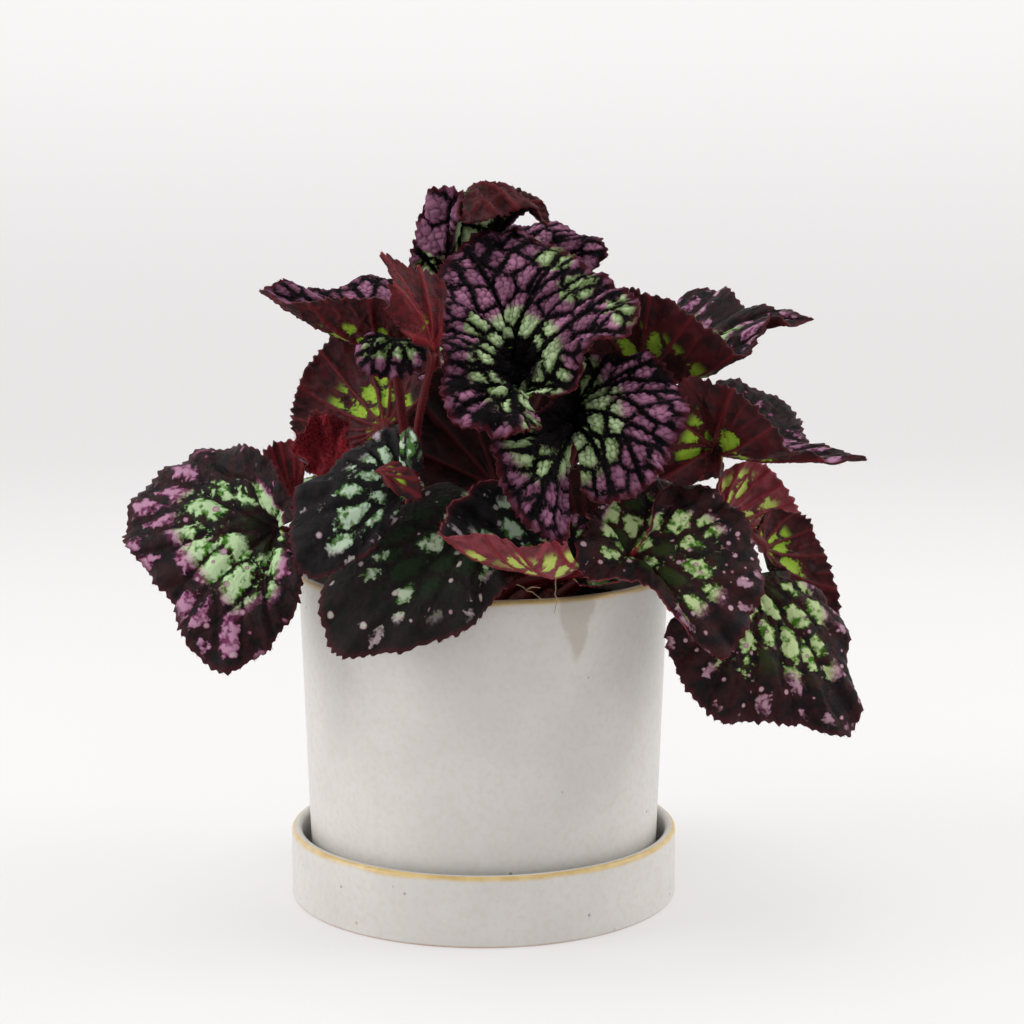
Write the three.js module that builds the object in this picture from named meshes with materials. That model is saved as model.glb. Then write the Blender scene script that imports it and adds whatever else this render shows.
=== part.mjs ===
// A rex begonia growing in a round glazed pot that stands in its own saucer.
// Millimetres, +Z up. The origin is the centre of the saucer's flat underside. The plant's open
// funnel leaves face -Y, and +X is to the right seen from there.
import * as THREE from "three";

// Pot, saucer and soil
const saucerSize = {
  outerRadius: 75,
  innerRadius: 70.9,
  height: 26.6,
  floorThickness: 5,
  edgeRounding: 1.6,
};
const potSize = {
  footRadius: 66.9,
  rimRadius: 71.2,
  standsAt: 5.3,
  rimHeight: 126.2,
  wallThickness: 4.4,
  floorThickness: 6,
  drainRadius: 7,
  footRounding: 2.5,
};
const soilSize = { topAtWall: 110, topAtCentre: 112, gapToPot: 0.4 };
const roundSegments = 40;

// Rhizome: the low knuckle at soil level from which every leaf stem rises
const rhizomeSize = { centreY: -6, radiusX: 34, radiusY: 28, height: 11, segments: 20 };

// Leaves and stems
const stemRadius = { rosette: 2.3, mature: 2.1, young: 1.5 };
const leafThickness = 1;
const leafRings = 5;
const touchingGap = 0.35;
const stemSides = 6;
const stemSteps = 8;
const stemRise = 0.4; // share of its length that a stem keeps the direction it leaves the rhizome in
const stemReach = 0.3; // share of its length that a stem runs straight as it meets its blade
const stemBevel = 0.4; // how much of a slanting stem's end counts in its clearance from the blade
const fewVeins = 11; // a leaf with fewer margin points than this gets a column between each two

// Colours read from the real plant
const finishes = {
  glaze: new THREE.MeshStandardMaterial({ color: 0xd9d7d1, roughness: 0.45, metalness: 0 }),
  soil: new THREE.MeshStandardMaterial({ color: 0x1c1512, roughness: 1, metalness: 0 }),
  rhizome: new THREE.MeshStandardMaterial({ color: 0x4a2420, roughness: 0.8, metalness: 0 }),
  stem: new THREE.MeshStandardMaterial({ color: 0x5e151c, roughness: 0.7, metalness: 0 }),
  rosette: new THREE.MeshStandardMaterial({ color: 0x7d5068, roughness: 0.6, metalness: 0 }),
  mature: new THREE.MeshStandardMaterial({ color: 0x2c3a2a, roughness: 0.5, metalness: 0 }),
  young: new THREE.MeshStandardMaterial({ color: 0x6b1a24, roughness: 0.7, metalness: 0 }),
};

// Each leaf is a heart, where its veins meet on the stem, and the points that its margin passes
// through, anticlockwise seen from the upper face and open at the sinus. A margin point is
// [x, y, z, arch], where arch is how far the vein to it bulges towards the upper face, and
// three more numbers, where given, pull the middle of that vein along X, Y and Z.
// foot is where its stem leaves the rhizome: [degrees anticlockwise from +X, share of the radius].
// arrives, where given, is the way the stem runs as it meets the blade, rise its own stemRise, and
// seat how much further below the heart than usual the stem ends.
const shapedLeaves = {
  crown_leaf: {
    finish: "rosette",
    heart: [12, -42, 187],
    foot: [-62, 0.3],
    margin: [
      [24, -80, 199, 5], [32, -81, 206, 6], [36, -83, 215, 7], [43, -86, 221, 8], [53, -83, 225, 9],
      [54, -75, 232, 10], [47, -56, 238, 11], [36, -38, 245, 13], [24, -26, 252, 15],
      [11, -18, 257, 16], [-4, -20, 254, 15], [-15, -32, 244, 13], [-18, -46, 234, 12],
      [-16, -58, 224, 12], [-14, -70, 212, 12], [-14, -80, 200, 12], [-9, -88, 191, 13],
      [1, -92, 189, 14], [11, -94, 188, 13], [20, -90, 191, 8],
    ],
  },
  rosette_leaf: {
    finish: "rosette",
    heart: [31, -48, 186],
    foot: [-30, 0.45],
    margin: [
      [33, -98, 168, 4], [44, -98, 165, 9], [54, -94, 168, 12], [62, -88, 176, 13],
      [68, -82, 186, 13], [71, -76, 196, 11], [68, -66, 204, 9], [59, -56, 212, 6],
      [47, -48, 212, 4], [36, -48, 209, 3], [23, -66, 196, 5], [12, -78, 188, 7], [3, -84, 183, 9],
      [5, -90, 175, 12], [8, -96, 165, 13], [14, -102, 158, 12], [22, -106, 154, 9],
      [27, -106, 153, 6], [30, -102, 159, 3],
    ],
  },
  hooked_leaf: {
    finish: "rosette",
    heart: [-12, -2, 225],
    foot: [75, 0.15],
    seat: -0.4,
    margin: [
      [-2, 8, 241, 2], [2, 6, 258, 4], [6, 2, 272, 6], [14, -4, 271, 3, 0, 0, 4], [22, -10, 267, 2, 0, 0, 20],
      [24, -18, 259, 0, -6, 0, 50], [18, -24, 264, 0, -14, -4, 50], [9, -28, 263, 0, -10, -6, 50],
      [0, -32, 259, 0, -6, -6, 48], [-7, -32, 259, 0, -4, -8, 30], [-9, -26, 270, 4], [-19, -20, 271, 6],
      [-24, -18, 258, 8], [-27, -18, 242, 6], [-21, -14, 233, 3],
    ],
  },
  shoulder_leaf: {
    finish: "rosette",
    heart: [13, 16, 236],
    foot: [40, 0.3],
    arrives: [0, 0.3, 1],
    seat: 0.9,
    margin: [
      [42, 6, 241, 4], [48, 4, 249, 6], [42, 12, 254, 8], [32, 20, 258, 10], [19, 28, 258, 10],
      [6, 30, 256, 8], [0, 20, 247, 5],
    ],
  },
  left_wing_leaf: {
    finish: "mature",
    heart: [-32, -40, 212],
    foot: [205, 0.45],
    seat: -0.4,
    margin: [
      [-27, -4, 232, 2], [-36, -8, 240, 3], [-47, -12, 238, 3], [-61, -18, 234, 2], [-73, -36, 238, 0],
      [-79, -48, 235, -3], [-64, -62, 231, -4], [-46, -66, 233, -5], [-35, -66, 231, -5],
      [-27, -62, 221, -3], [-18, -64, 216, -1], [-18, -68, 209, 1], [-27, -74, 207, 2],
      [-38, -78, 209, 2],
    ],
  },
  twisted_leaf: {
    finish: "young",
    heart: [-18, -77, 214],
    foot: [-140, 0.55],
    arrives: [0.25, -0.2, 1],
    seat: 0.4,
    margin: [
      [-22, -84, 217, -2], [-31, -92, 228, -3], [-31, -88, 241, -3], [-34, -82, 249, -2],
      [-28, -76, 244, -2], [-16, -70, 241, -2], [-15, -72, 222, -2],
    ],
  },
  upright_leaf: {
    finish: "mature",
    heart: [-37, -14, 182],
    foot: [178, 0.6],
    margin: [
      [-56, -14, 172, 2], [-72, 0, 178, 4], [-73, 8, 191, 6], [-69, 14, 203, 7], [-55, 18, 217, 8],
      [-40, 16, 219, 8], [-27, 8, 211, 6], [-22, -6, 193, 3],
    ],
  },
  middle_leaf: {
    finish: "mature",
    heart: [6, -2, 158],
    foot: [70, 0.55],
    margin: [
      [-12, -4, 154, 2], [-25, -3, 168, 2], [-29, -1, 188, 3], [-17, 2, 204, 3], [-2, 1, 208, 3],
      [16, -1, 209, 3], [34, -3, 203, 3], [41, -4, 188, 2], [38, -4, 172, 2], [24, -5, 152, 2],
    ],
  },
  woolly_leaf: {
    finish: "young",
    heart: [-55, -50, 168],
    foot: [212, 0.75],
    margin: [
      [-65, -48, 170, 2], [-68, -44, 181, 3], [-59, -40, 191, 3], [-50, -44, 186, 3], [-49, -50, 174, 2],
    ],
  },
  red_bud_leaf: {
    finish: "young",
    heart: [-70, -36, 155],
    foot: [176, 0.9],
    margin: [
      [-79, -30, 165, 1], [-82, -26, 173, 2], [-76, -22, 178, 3], [-69, -22, 178, 2], [-67, -30, 167, 1],
    ],
  },
  left_leaf: {
    finish: "mature",
    heart: [-75, -40, 148],
    foot: [206, 0.9],
    margin: [
      [-69, -54, 158, 2], [-81, -34, 175, 4], [-105, -16, 174, 5], [-125, -18, 163, 6], [-133, -34, 146, 6],
      [-117, -50, 127, 6], [-97, -62, 99, 7], [-79, -62, 106, 6], [-65, -60, 129, 4], [-68, -52, 143, 2],
    ],
  },
  striped_leaf: {
    finish: "mature",
    heart: [-25, -72, 167],
    foot: [226, 0.7],
    rise: 0.7,
    arrives: [-0.2, -0.95, -0.15],
    margin: [
      [-23, -74, 177, 2], [-35, -60, 187, 4], [-50, -68, 176, 5], [-64, -76, 167, 5],
      [-67, -84, 152, 5], [-61, -88, 138, 5], [-45, -88, 143, 4], [-30, -82, 156, 2],
    ],
  },
  front_leaf: {
    finish: "mature",
    heart: [2, -66, 153],
    foot: [250, 0.8],
    margin: [
      [1, -56, 163, 2], [-16, -52, 164, 4], [-35, -58, 156, 6], [-55, -72, 136, 7], [-53, -84, 111, 7],
      [-28, -88, 112, 8], [-6, -90, 120, 7], [8, -84, 134, 4],
    ],
  },
  boat_leaf: {
    finish: "mature",
    heart: [35, -74, 143],
    foot: [-78, 0.85],
    margin: [
      [27, -70, 160, -2], [10, -74, 170, -4], [-5, -82, 167, -6], [-12, -94, 160, -7],
      [-14, -104, 156, -8], [1, -112, 155, -9], [14, -113, 152, -8], [28, -104, 152, -5],
    ],
  },
  right_leaf: {
    finish: "mature",
    heart: [51, -76, 143],
    foot: [-55, 0.85],
    margin: [
      [57, -66, 149, 1], [64, -58, 160, 2], [61, -54, 169, 2], [49, -58, 168, 2], [40, -64, 160, 2],
      [36, -78, 153, 3], [32, -90, 147, 3], [36, -93, 138, 3], [53, -92, 137, 3], [68, -98, 123, 4],
      [81, -102, 111, 5], [92, -94, 124, 5], [97, -84, 137, 5], [91, -72, 157, 5], [74, -68, 168, 4],
      [61, -72, 164, 3], [58, -77, 152, 1],
    ],
  },
  low_right_leaf: {
    finish: "mature",
    heart: [97, -50, 132],
    foot: [-28, 0.9],
    margin: [
      [81, -58, 128, 3], [66, -62, 115, 5], [72, -66, 94, 6], [85, -68, 82, 7], [107, -68, 81, 6],
      [134, -64, 77, 5], [133, -54, 99, 5], [130, -46, 117, 4], [112, -44, 132, 2],
    ],
  },
  right_shoulder_leaf: {
    finish: "mature",
    heart: [102, -40, 140],
    foot: [-8, 0.9],
    margin: [
      [98, -40, 147, 1], [105, -34, 152, 2], [119, -26, 151, 4], [129, -26, 133, 5], [133, -32, 115, 5],
      [119, -40, 124, 4], [107, -44, 134, 1],
    ],
  },
  pink_leaf: {
    finish: "mature",
    heart: [88, -34, 148],
    foot: [8, 0.75],
    margin: [
      [86, -30, 154, 1], [88, -24, 163, 3], [98, -16, 171, 4], [108, -10, 167, 5], [115, -8, 159, 5],
      [121, -12, 148, 4], [108, -26, 144, 2],
    ],
  },
  right_wing_leaf: {
    finish: "mature",
    heart: [84, -46, 177],
    foot: [-12, 0.6],
    margin: [
      [87, -56, 170, -2], [77, -66, 168, -3], [66, -72, 168, -4], [58, -72, 174, -4],
      [61, -70, 190, -5], [71, -66, 205, -5], [80, -68, 203, -6], [90, -72, 200, -6],
      [98, -76, 192, -6], [107, -78, 182, -4], [115, -76, 178, -2], [134, -72, 177, -1],
      [118, -42, 181, -1], [116, -22, 190, -1], [100, -12, 198, -1], [88, -10, 200, -1],
    ],
  },
  upper_right_leaf: {
    finish: "mature",
    heart: [60, -26, 201],
    foot: [10, 0.4],
    seat: -0.4,
    margin: [
      [40, -32, 204, -1], [39, -38, 217, -2], [46, -44, 231, -3], [53, -48, 235, -3],
      [64, -56, 232, -4], [74, -60, 227, -5], [82, -62, 219, -5], [91, -62, 213, -4],
      [100, -58, 219, -2], [102, -54, 225, 1], [118, -46, 223, 3, 0, 0, 8], [108, -40, 229, 3],
      [98, -30, 228, 2], [89, -10, 235, 2], [76, -2, 230, 2], [68, 4, 218, 1],
    ],
  },
};

// The leaves of the far side are the plain lopsided heart of the species: length from heart to tip,
// heading in degrees from +X, the slope of the midrib at the heart and how far it turns down by the tip.
const plainOutline = [
  [-0.1, -0.07], [-0.3, -0.22], [-0.2, -0.47], [0.15, -0.52], [0.55, -0.36], [1, 0],
  [0.6, 0.42], [0.15, 0.6], [-0.28, 0.5], [-0.38, 0.2], [-0.1, 0.07],
];
const sideDroop = 0.3; // how far the sides hang, as a share of the length
const plainSeat = 0.4; // how much further below the heart the stem of a plain leaf ends
const plainLeaves = {
  left_side_leaf: {
    heart: [-48, 10, 162], heading: 163, length: 56, slope: 10, droop: 90, foot: [158, 0.7], rise: 0.5,
  },
  rear_left_leaf: { heart: [-33, 42, 141], heading: 124, length: 66, slope: 15, droop: 95, foot: [140, 0.9] },
  rear_leaf: { heart: [-2, 46, 154], heading: 96, length: 70, slope: 20, droop: 110, foot: [100, 0.9] },
  rear_right_leaf: { heart: [38, 38, 141], heading: 52, length: 68, slope: 15, droop: 95, foot: [60, 0.9] },
  right_side_leaf: {
    heart: [52, 12, 162], heading: 18, length: 56, slope: 10, droop: 90, foot: [22, 0.65], rise: 0.5,
  },
  rear_high_left_leaf: { heart: [-32, 32, 184], heading: 142, length: 58, slope: 25, droop: 105, foot: [150, 0.45] },
  rear_high_right_leaf: { heart: [38, 30, 188], heading: 46, length: 62, slope: 25, droop: 105, foot: [50, 0.5] },
  rear_top_leaf: { heart: [0, 44, 206], heading: 96, length: 58, slope: 35, droop: 105, foot: [95, 0.5] },
};

const radians = THREE.MathUtils.degToRad;

function meshNamed(name, geometry, finish) {
  const mesh = new THREE.Mesh(geometry, finishes[finish]);
  mesh.name = name;
  return mesh;
}

// A turned solid from [radius, height] points, anticlockwise in the r-z plane. A profile that
// doesn't start on the axis is a ring, and closes on itself.
function turned(profile, segments = roundSegments) {
  const points = profile.map(([radius, height]) => new THREE.Vector2(radius, height));
  if (points[0].x > 0) points.push(points[0].clone());
  return new THREE.LatheGeometry(points, segments).rotateX(Math.PI / 2);
}

function makeSaucer() {
  const { outerRadius, innerRadius, height, floorThickness, edgeRounding } = saucerSize;
  const ring = turned([
    [0, 0],
    [outerRadius - edgeRounding, 0],
    [outerRadius, edgeRounding],
    [outerRadius, height - edgeRounding],
    [outerRadius - edgeRounding, height],
    [innerRadius + edgeRounding, height],
    [innerRadius, height - edgeRounding],
    [innerRadius, floorThickness],
    [0, floorThickness],
  ]);
  return meshNamed("saucer", ring, "glaze");
}

function potOuterRadius(height) {
  const { footRadius, rimRadius, standsAt, rimHeight } = potSize;
  return footRadius + ((rimRadius - footRadius) * (height - standsAt)) / (rimHeight - standsAt);
}

function makePot() {
  const { rimRadius, standsAt, rimHeight, wallThickness, floorThickness, drainRadius, footRounding } = potSize;
  const floorTop = standsAt + floorThickness;
  const lipRounding = wallThickness / 3;
  const ring = turned([
    [drainRadius, standsAt],
    [potOuterRadius(standsAt) - footRounding, standsAt],
    [potOuterRadius(standsAt + footRounding), standsAt + footRounding],
    [potOuterRadius(rimHeight - lipRounding), rimHeight - lipRounding],
    [rimRadius - lipRounding, rimHeight],
    [rimRadius - wallThickness + lipRounding, rimHeight],
    [potOuterRadius(rimHeight - lipRounding) - wallThickness, rimHeight - lipRounding],
    [potOuterRadius(floorTop) - wallThickness, floorTop],
    [drainRadius, floorTop],
  ]);
  return meshNamed("pot", ring, "glaze");
}

function makeSoil() {
  const bottom = potSize.standsAt + potSize.floorThickness + soilSize.gapToPot;
  const wallAt = (height) => potOuterRadius(height) - potSize.wallThickness - soilSize.gapToPot;
  const plug = turned([
    [0, bottom],
    [wallAt(bottom), bottom],
    [wallAt(soilSize.topAtWall), soilSize.topAtWall],
    [wallAt(soilSize.topAtWall) / 2, soilSize.topAtCentre],
    [0, soilSize.topAtCentre],
  ]);
  return meshNamed("soil", plug, "soil");
}

// Height of the rhizome's domed top above the soil, at a share of its radius.
const domeHeight = (share) => rhizomeSize.height * Math.sqrt(Math.max(0, 1 - share * share));

function makeRhizome() {
  const { centreY, radiusX, radiusY, segments } = rhizomeSize;
  const shares = [1, 0.93, 0.75, 0.45];
  const skin = shares.map((share) => [share, domeHeight(share)]);
  const dome = turned([[0, 0], ...skin, [0, domeHeight(0)]], segments);
  dome.scale(radiusX, radiusY, 1);
  const mesh = meshNamed("rhizome", dome, "rhizome");
  mesh.position.set(0, centreY, soilSize.topAtCentre + touchingGap);
  return mesh;
}

const vector = ([x, y, z]) => new THREE.Vector3(x, y, z);

// The heart and margin of a plain leaf, laid along its heading and hanging down towards the tip.
function plainLeaf({ heart, heading, length, slope, droop, ...stem }) {
  const turn = radians(heading);
  const margin = plainOutline.map(([along, across]) => {
    const tangent = radians(slope - (droop * Math.abs(along)) / 2);
    const forward = along * length * Math.cos(tangent);
    const side = across * length;
    return [
      heart[0] + forward * Math.cos(turn) - side * Math.sin(turn),
      heart[1] + forward * Math.sin(turn) + side * Math.cos(turn),
      heart[2] + along * length * Math.sin(tangent) - sideDroop * length * across * across,
      length * ((along * along * radians(droop)) / 8 + (across * across * sideDroop) / 4),
    ];
  });
  return { finish: "mature", heart, margin, seat: plainSeat, ...stem };
}

// The blade's frame: each margin point's vein as a start, a middle and an end, and the mean normal.
function bladeVeins({ heart, margin }) {
  const centre = vector(heart);
  const ends = margin.map(vector);
  const last = ends.length - 1;
  const raw = ends.map((_, i) => {
    const before = ends[Math.max(i - 1, 0)].clone().sub(centre);
    const after = ends[Math.min(i + 1, last)].clone().sub(centre);
    return before.cross(after).normalize();
  });
  const normals = raw.map((normal, i) =>
    normal
      .clone()
      .multiplyScalar(2)
      .add(raw[Math.max(i - 1, 0)])
      .add(raw[Math.min(i + 1, last)])
      .normalize(),
  );
  const middles = ends.map((end, i) => {
    const [, , , arch, ...pull] = margin[i];
    const middle = end.clone().lerp(centre, 0.5).addScaledVector(normals[i], 2 * arch);
    return pull.length ? middle.add(vector(pull)) : middle;
  });
  const up = new THREE.Vector3();
  middles.slice(1).forEach((middle, i) => {
    up.add(middles[i].clone().sub(centre).cross(middle.clone().sub(centre)));
  });
  return { centre, middles, ends, up: up.normalize() };
}

// A blade as one closed shell. The veins are quadratic curves from the heart, and their middles and
// the margin run on smooth curves between the given points.
function makeBlade(name, leaf) {
  const { centre, middles, ends } = bladeVeins(leaf);
  const columns = ends.length < fewVeins ? 2 * ends.length - 1 : ends.length;
  const middleCurve = new THREE.CatmullRomCurve3(middles);
  const marginCurve = new THREE.CatmullRomCurve3(ends);
  const grid = [];
  for (let i = 0; i < columns; i += 1) {
    const share = i / (columns - 1);
    const middle = middleCurve.getPoint(share);
    const vein = new THREE.QuadraticBezierCurve3(centre, middle, marginCurve.getPoint(share));
    grid.push(vein.getPoints(leafRings));
  }
  const normalAt = (i, ring) => {
    const along = grid[i][Math.min(ring + 1, leafRings)].clone().sub(grid[i][Math.max(ring - 1, 0)]);
    const across = grid[Math.min(i + 1, columns - 1)][ring].clone().sub(grid[Math.max(i - 1, 0)][ring]);
    return along.cross(across).normalize();
  };
  const heartNormal = new THREE.Vector3();
  for (let i = 0; i < columns; i += 1) heartNormal.add(normalAt(i, 1));
  heartNormal.normalize();

  const positions = [];
  const addPoint = (point, normal, side) => {
    const moved = point.clone().addScaledVector(normal, (side * leafThickness) / 2);
    positions.push(moved.x, moved.y, moved.z);
  };
  for (const side of [1, -1]) {
    addPoint(centre, heartNormal, side);
    for (let i = 0; i < columns; i += 1) {
      for (let ring = 1; ring <= leafRings; ring += 1) {
        addPoint(grid[i][ring], normalAt(i, ring), side);
      }
    }
  }
  const perSide = 1 + columns * leafRings;
  const at = (i, ring) => (ring === 0 ? 0 : 1 + i * leafRings + ring - 1);
  const index = [];
  const addFace = (a, b, c) => index.push(a, b, c, a + perSide, c + perSide, b + perSide);
  for (let i = 0; i < columns - 1; i += 1) {
    addFace(0, at(i, 1), at(i + 1, 1));
    for (let ring = 1; ring < leafRings; ring += 1) {
      addFace(at(i, ring), at(i, ring + 1), at(i + 1, ring + 1));
      addFace(at(i, ring), at(i + 1, ring + 1), at(i + 1, ring));
    }
  }
  const edge = [0];
  for (let ring = 1; ring <= leafRings; ring += 1) edge.push(at(0, ring));
  for (let i = 1; i < columns; i += 1) edge.push(at(i, leafRings));
  for (let ring = leafRings - 1; ring > 0; ring -= 1) edge.push(at(columns - 1, ring));
  edge.forEach((a, i) => {
    const b = edge[(i + 1) % edge.length];
    index.push(a + perSide, b + perSide, b, a + perSide, b, a);
  });
  const geometry = new THREE.BufferGeometry();
  geometry.setAttribute("position", new THREE.Float32BufferAttribute(positions, 3));
  geometry.setIndex(index);
  return meshNamed(name, geometry, leaf.finish);
}

// A stem from its foot on the rhizome to just under the blade's heart. It arrives half from below
// the blade and half from the side of the sinus.
function makeStem(name, leaf, radius) {
  const [angle, share] = leaf.foot;
  const across = new THREE.Vector3(Math.cos(radians(angle)), Math.sin(radians(angle)), 0);
  const foot = new THREE.Vector3(
    rhizomeSize.radiusX * share * across.x,
    rhizomeSize.centreY + rhizomeSize.radiusY * share * across.y,
    soilSize.topAtCentre + touchingGap + domeHeight(share),
  );
  const leaves = across.multiplyScalar(share).add(new THREE.Vector3(0, 0, 1)).normalize();
  foot.addScaledVector(leaves, 2 * touchingGap);
  const { centre, ends, up } = bladeVeins(leaf);
  const outward = new THREE.Vector3();
  ends.forEach((end) => outward.add(end.clone().sub(centre)));
  const arrives = leaf.arrives ? vector(leaf.arrives) : outward.normalize().add(up);
  arrives.normalize();
  const tilt = Math.sqrt(Math.max(0, 1 - arrives.dot(up) ** 2));
  const slantRoom = radius * tilt * stemBevel;
  const clearance = leafThickness / 2 + 2 * touchingGap + slantRoom + (leaf.seat ?? 0);
  const top = centre.addScaledVector(up, -clearance);
  const span = top.distanceTo(foot);
  const path = new THREE.CubicBezierCurve3(
    foot,
    foot.clone().addScaledVector(leaves, span * (leaf.rise ?? stemRise)),
    top.clone().addScaledVector(arrives, -span * stemReach),
    top,
  );
  const section = new THREE.Shape(
    Array.from({ length: stemSides }, (_, i) => {
      const turn = (2 * Math.PI * i) / stemSides;
      return new THREE.Vector2(radius * Math.cos(turn), radius * Math.sin(turn));
    }),
  );
  const swept = { extrudePath: path, steps: stemSteps, bevelEnabled: false };
  return meshNamed(name, new THREE.ExtrudeGeometry(section, swept), "stem");
}

const plant = new THREE.Group();
plant.name = "potted_begonia";
plant.add(makeSaucer(), makePot(), makeSoil(), makeRhizome());
const leaves = { ...shapedLeaves };
for (const [name, leaf] of Object.entries(plainLeaves)) leaves[name] = plainLeaf(leaf);
for (const [name, leaf] of Object.entries(leaves)) {
  const stemName = name.replace(/leaf$/, "stem");
  plant.add(makeBlade(name, leaf), makeStem(stemName, leaf, stemRadius[leaf.finish]));
}

export default plant;
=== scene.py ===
import math
import bpy
import numpy as np
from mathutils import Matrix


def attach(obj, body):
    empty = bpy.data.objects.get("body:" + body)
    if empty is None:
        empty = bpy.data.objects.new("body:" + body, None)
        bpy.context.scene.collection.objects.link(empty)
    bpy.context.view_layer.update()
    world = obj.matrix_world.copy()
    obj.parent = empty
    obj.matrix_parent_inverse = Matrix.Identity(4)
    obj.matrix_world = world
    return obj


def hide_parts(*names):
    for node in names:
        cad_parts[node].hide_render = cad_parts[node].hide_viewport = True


# A rex begonia in a glazed pot on its saucer. Lengths in the dictionaries are millimetres.
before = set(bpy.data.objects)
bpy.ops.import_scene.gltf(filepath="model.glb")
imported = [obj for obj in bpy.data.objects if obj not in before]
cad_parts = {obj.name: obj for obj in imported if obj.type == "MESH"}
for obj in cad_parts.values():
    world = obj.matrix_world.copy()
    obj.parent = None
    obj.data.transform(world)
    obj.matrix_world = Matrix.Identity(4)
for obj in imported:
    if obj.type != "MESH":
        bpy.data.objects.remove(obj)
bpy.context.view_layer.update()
mm = 0.001
hairShare = 1
print("frame loaded")

scene = bpy.context.scene


# small maths shared by all the pieces
def easeBetween(low, high, x):
    t = np.clip((np.asarray(x, float) - low) / (high - low), 0, 1)
    return t * t * (3 - 2 * t)


def unit(v):
    return v / np.maximum(np.linalg.norm(v, axis=-1, keepdims=True), 1e-9)


def scatter(cells, seed):
    # one repeatable number from 0 to 1 for each row of whole numbers
    h = np.full(cells.shape[0], 1013904223 + seed * 7919, np.int64)
    for k, prime in zip(range(cells.shape[1]), (374761393, 668265263, 2147483629)):
        h = (h ^ (cells[:, k].astype(np.int64) * prime)) & 0xFFFFFFFF
        h = (h * 1274126177) & 0xFFFFFFFF
        h = h ^ (h >> 15)
    return (h & 0xFFFFFF) / float(0x1000000)


def softNoise(points, size, seed):
    # smooth noise from 0 to 1 in any number of axes, size in the points' unit
    p = np.asarray(points, float) / size
    base = np.floor(p).astype(np.int64)
    f = p - base
    f = f * f * (3 - 2 * f)
    axes = p.shape[1]
    total = np.zeros(len(p))
    for corner in range(1 << axes):
        bits = np.array([(corner >> k) & 1 for k in range(axes)])
        weight = np.prod(np.where(bits, f, 1 - f), axis=1)
        total += weight * scatter(base + bits, seed)
    return total


def bumpCells(points, size, seed):
    # distance to the nearest border between loosely set cells, in the points' unit
    p = points / size
    base = np.floor(p).astype(np.int64)
    near = np.full(len(p), 9.0)
    nextNear = np.full(len(p), 9.0)
    for dx in (-1, 0, 1):
        for dy in (-1, 0, 1):
            cell = base + np.array([dx, dy])
            seedX = cell[:, 0] + 0.15 + 0.7 * scatter(cell, seed)
            seedY = cell[:, 1] + 0.15 + 0.7 * scatter(cell, seed + 1)
            d = np.hypot(p[:, 0] - seedX, p[:, 1] - seedY)
            nextNear = np.minimum(nextNear, np.maximum(d, near))
            near = np.minimum(near, d)
    return (nextNear - near) / 2 * size


def smoothCurve(points, shares):
    # centripetal spline through the points, as the solids use, open at both ends
    points = np.asarray(points, float)
    n = len(points)
    before = np.vstack([2 * points[0] - points[1], points, 2 * points[-1] - points[-2]])
    along = np.clip(np.asarray(shares, float), 0, 1) * (n - 1)
    i = np.minimum(along.astype(int), n - 2)
    w = (along - i)[:, None]
    a, b, c, d = before[i], before[i + 1], before[i + 2], before[i + 3]

    def root(p, q):
        return np.maximum(np.linalg.norm(q - p, axis=1) ** 0.5, 1e-4)[:, None]

    s0, s1, s2 = root(a, b), root(b, c), root(c, d)
    t1 = ((b - a) / s0 - (c - a) / (s0 + s1) + (c - b) / s1) * s1
    t2 = ((c - b) / s1 - (d - b) / (s1 + s2) + (d - c) / s2) * s1
    return b + t1 * w + (3 * (c - b) - 2 * t1 - t2) * w**2 + (2 * (b - c) + t1 + t2) * w**3


# small node helpers; tree is the node tree of the finish being mixed
class Wire:
    # a value on its way between two nodes, which can be added, subtracted and multiplied
    def __init__(self, socket):
        self.socket = socket

    def __add__(self, other):
        return calc("ADD", self, other)

    def __sub__(self, other):
        return calc("SUBTRACT", self, other)

    def __rsub__(self, other):
        return calc("SUBTRACT", other, self)

    def __mul__(self, other):
        return calc("MULTIPLY", self, other)


def paint(red, green, blue):
    # screen colour 0-255 to the linear colour that a shader takes
    def linear(c):
        c /= 255
        return c / 12.92 if c <= 0.04045 else ((c + 0.055) / 1.055) ** 2.4

    return (linear(red), linear(green), linear(blue), 1.0)


def newFinish(name):
    global tree
    material = bpy.data.materials.new(name)
    material.use_nodes = True
    tree = material.node_tree
    tree.nodes.clear()
    return material


def put(kind, feeds, **settings):
    n = tree.nodes.new(kind)
    for key, value in settings.items():
        setattr(n, key, value)
    for key, value in feeds.items():
        if isinstance(value, Wire):
            tree.links.new(value.socket, n.inputs[key])
        else:
            n.inputs[key].default_value = value
    return [Wire(socket) for socket in n.outputs]


def calc(what, a, b=0.0):
    return put("ShaderNodeMath", {0: a, 1: b}, operation=what)[0]


def between(x, low, high, start=0.0, end=1.0):
    feeds = {"Value": x, "From Min": low, "From Max": high, "To Min": start, "To Max": end}
    return put("ShaderNodeMapRange", feeds, interpolation_type="SMOOTHSTEP")[0]


def tint(share, a, b):
    return put("ShaderNodeMix", {0: share, 6: a, 7: b}, data_type="RGBA")[2]


def carried(name, output=2):
    # what the mesh carries at each point: output 2 is a number, 1 a vector
    return put("ShaderNodeAttribute", {}, attribute_name=name, attribute_type="GEOMETRY")[output]


def inSpace():
    return put("ShaderNodeTexCoord", {})[3]


def grain(place, scale, detail=3.0, rough=0.55):
    return put("ShaderNodeTexNoise", {"Vector": place, "Scale": scale, "Detail": detail, "Roughness": rough})[0]


def dotted(place, scale, feature="F1"):
    # distance to the nearest of many dots, and the colour that each dot has by chance
    return put("ShaderNodeTexVoronoi", {"Vector": place, "Scale": scale}, feature=feature)[:2]


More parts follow.
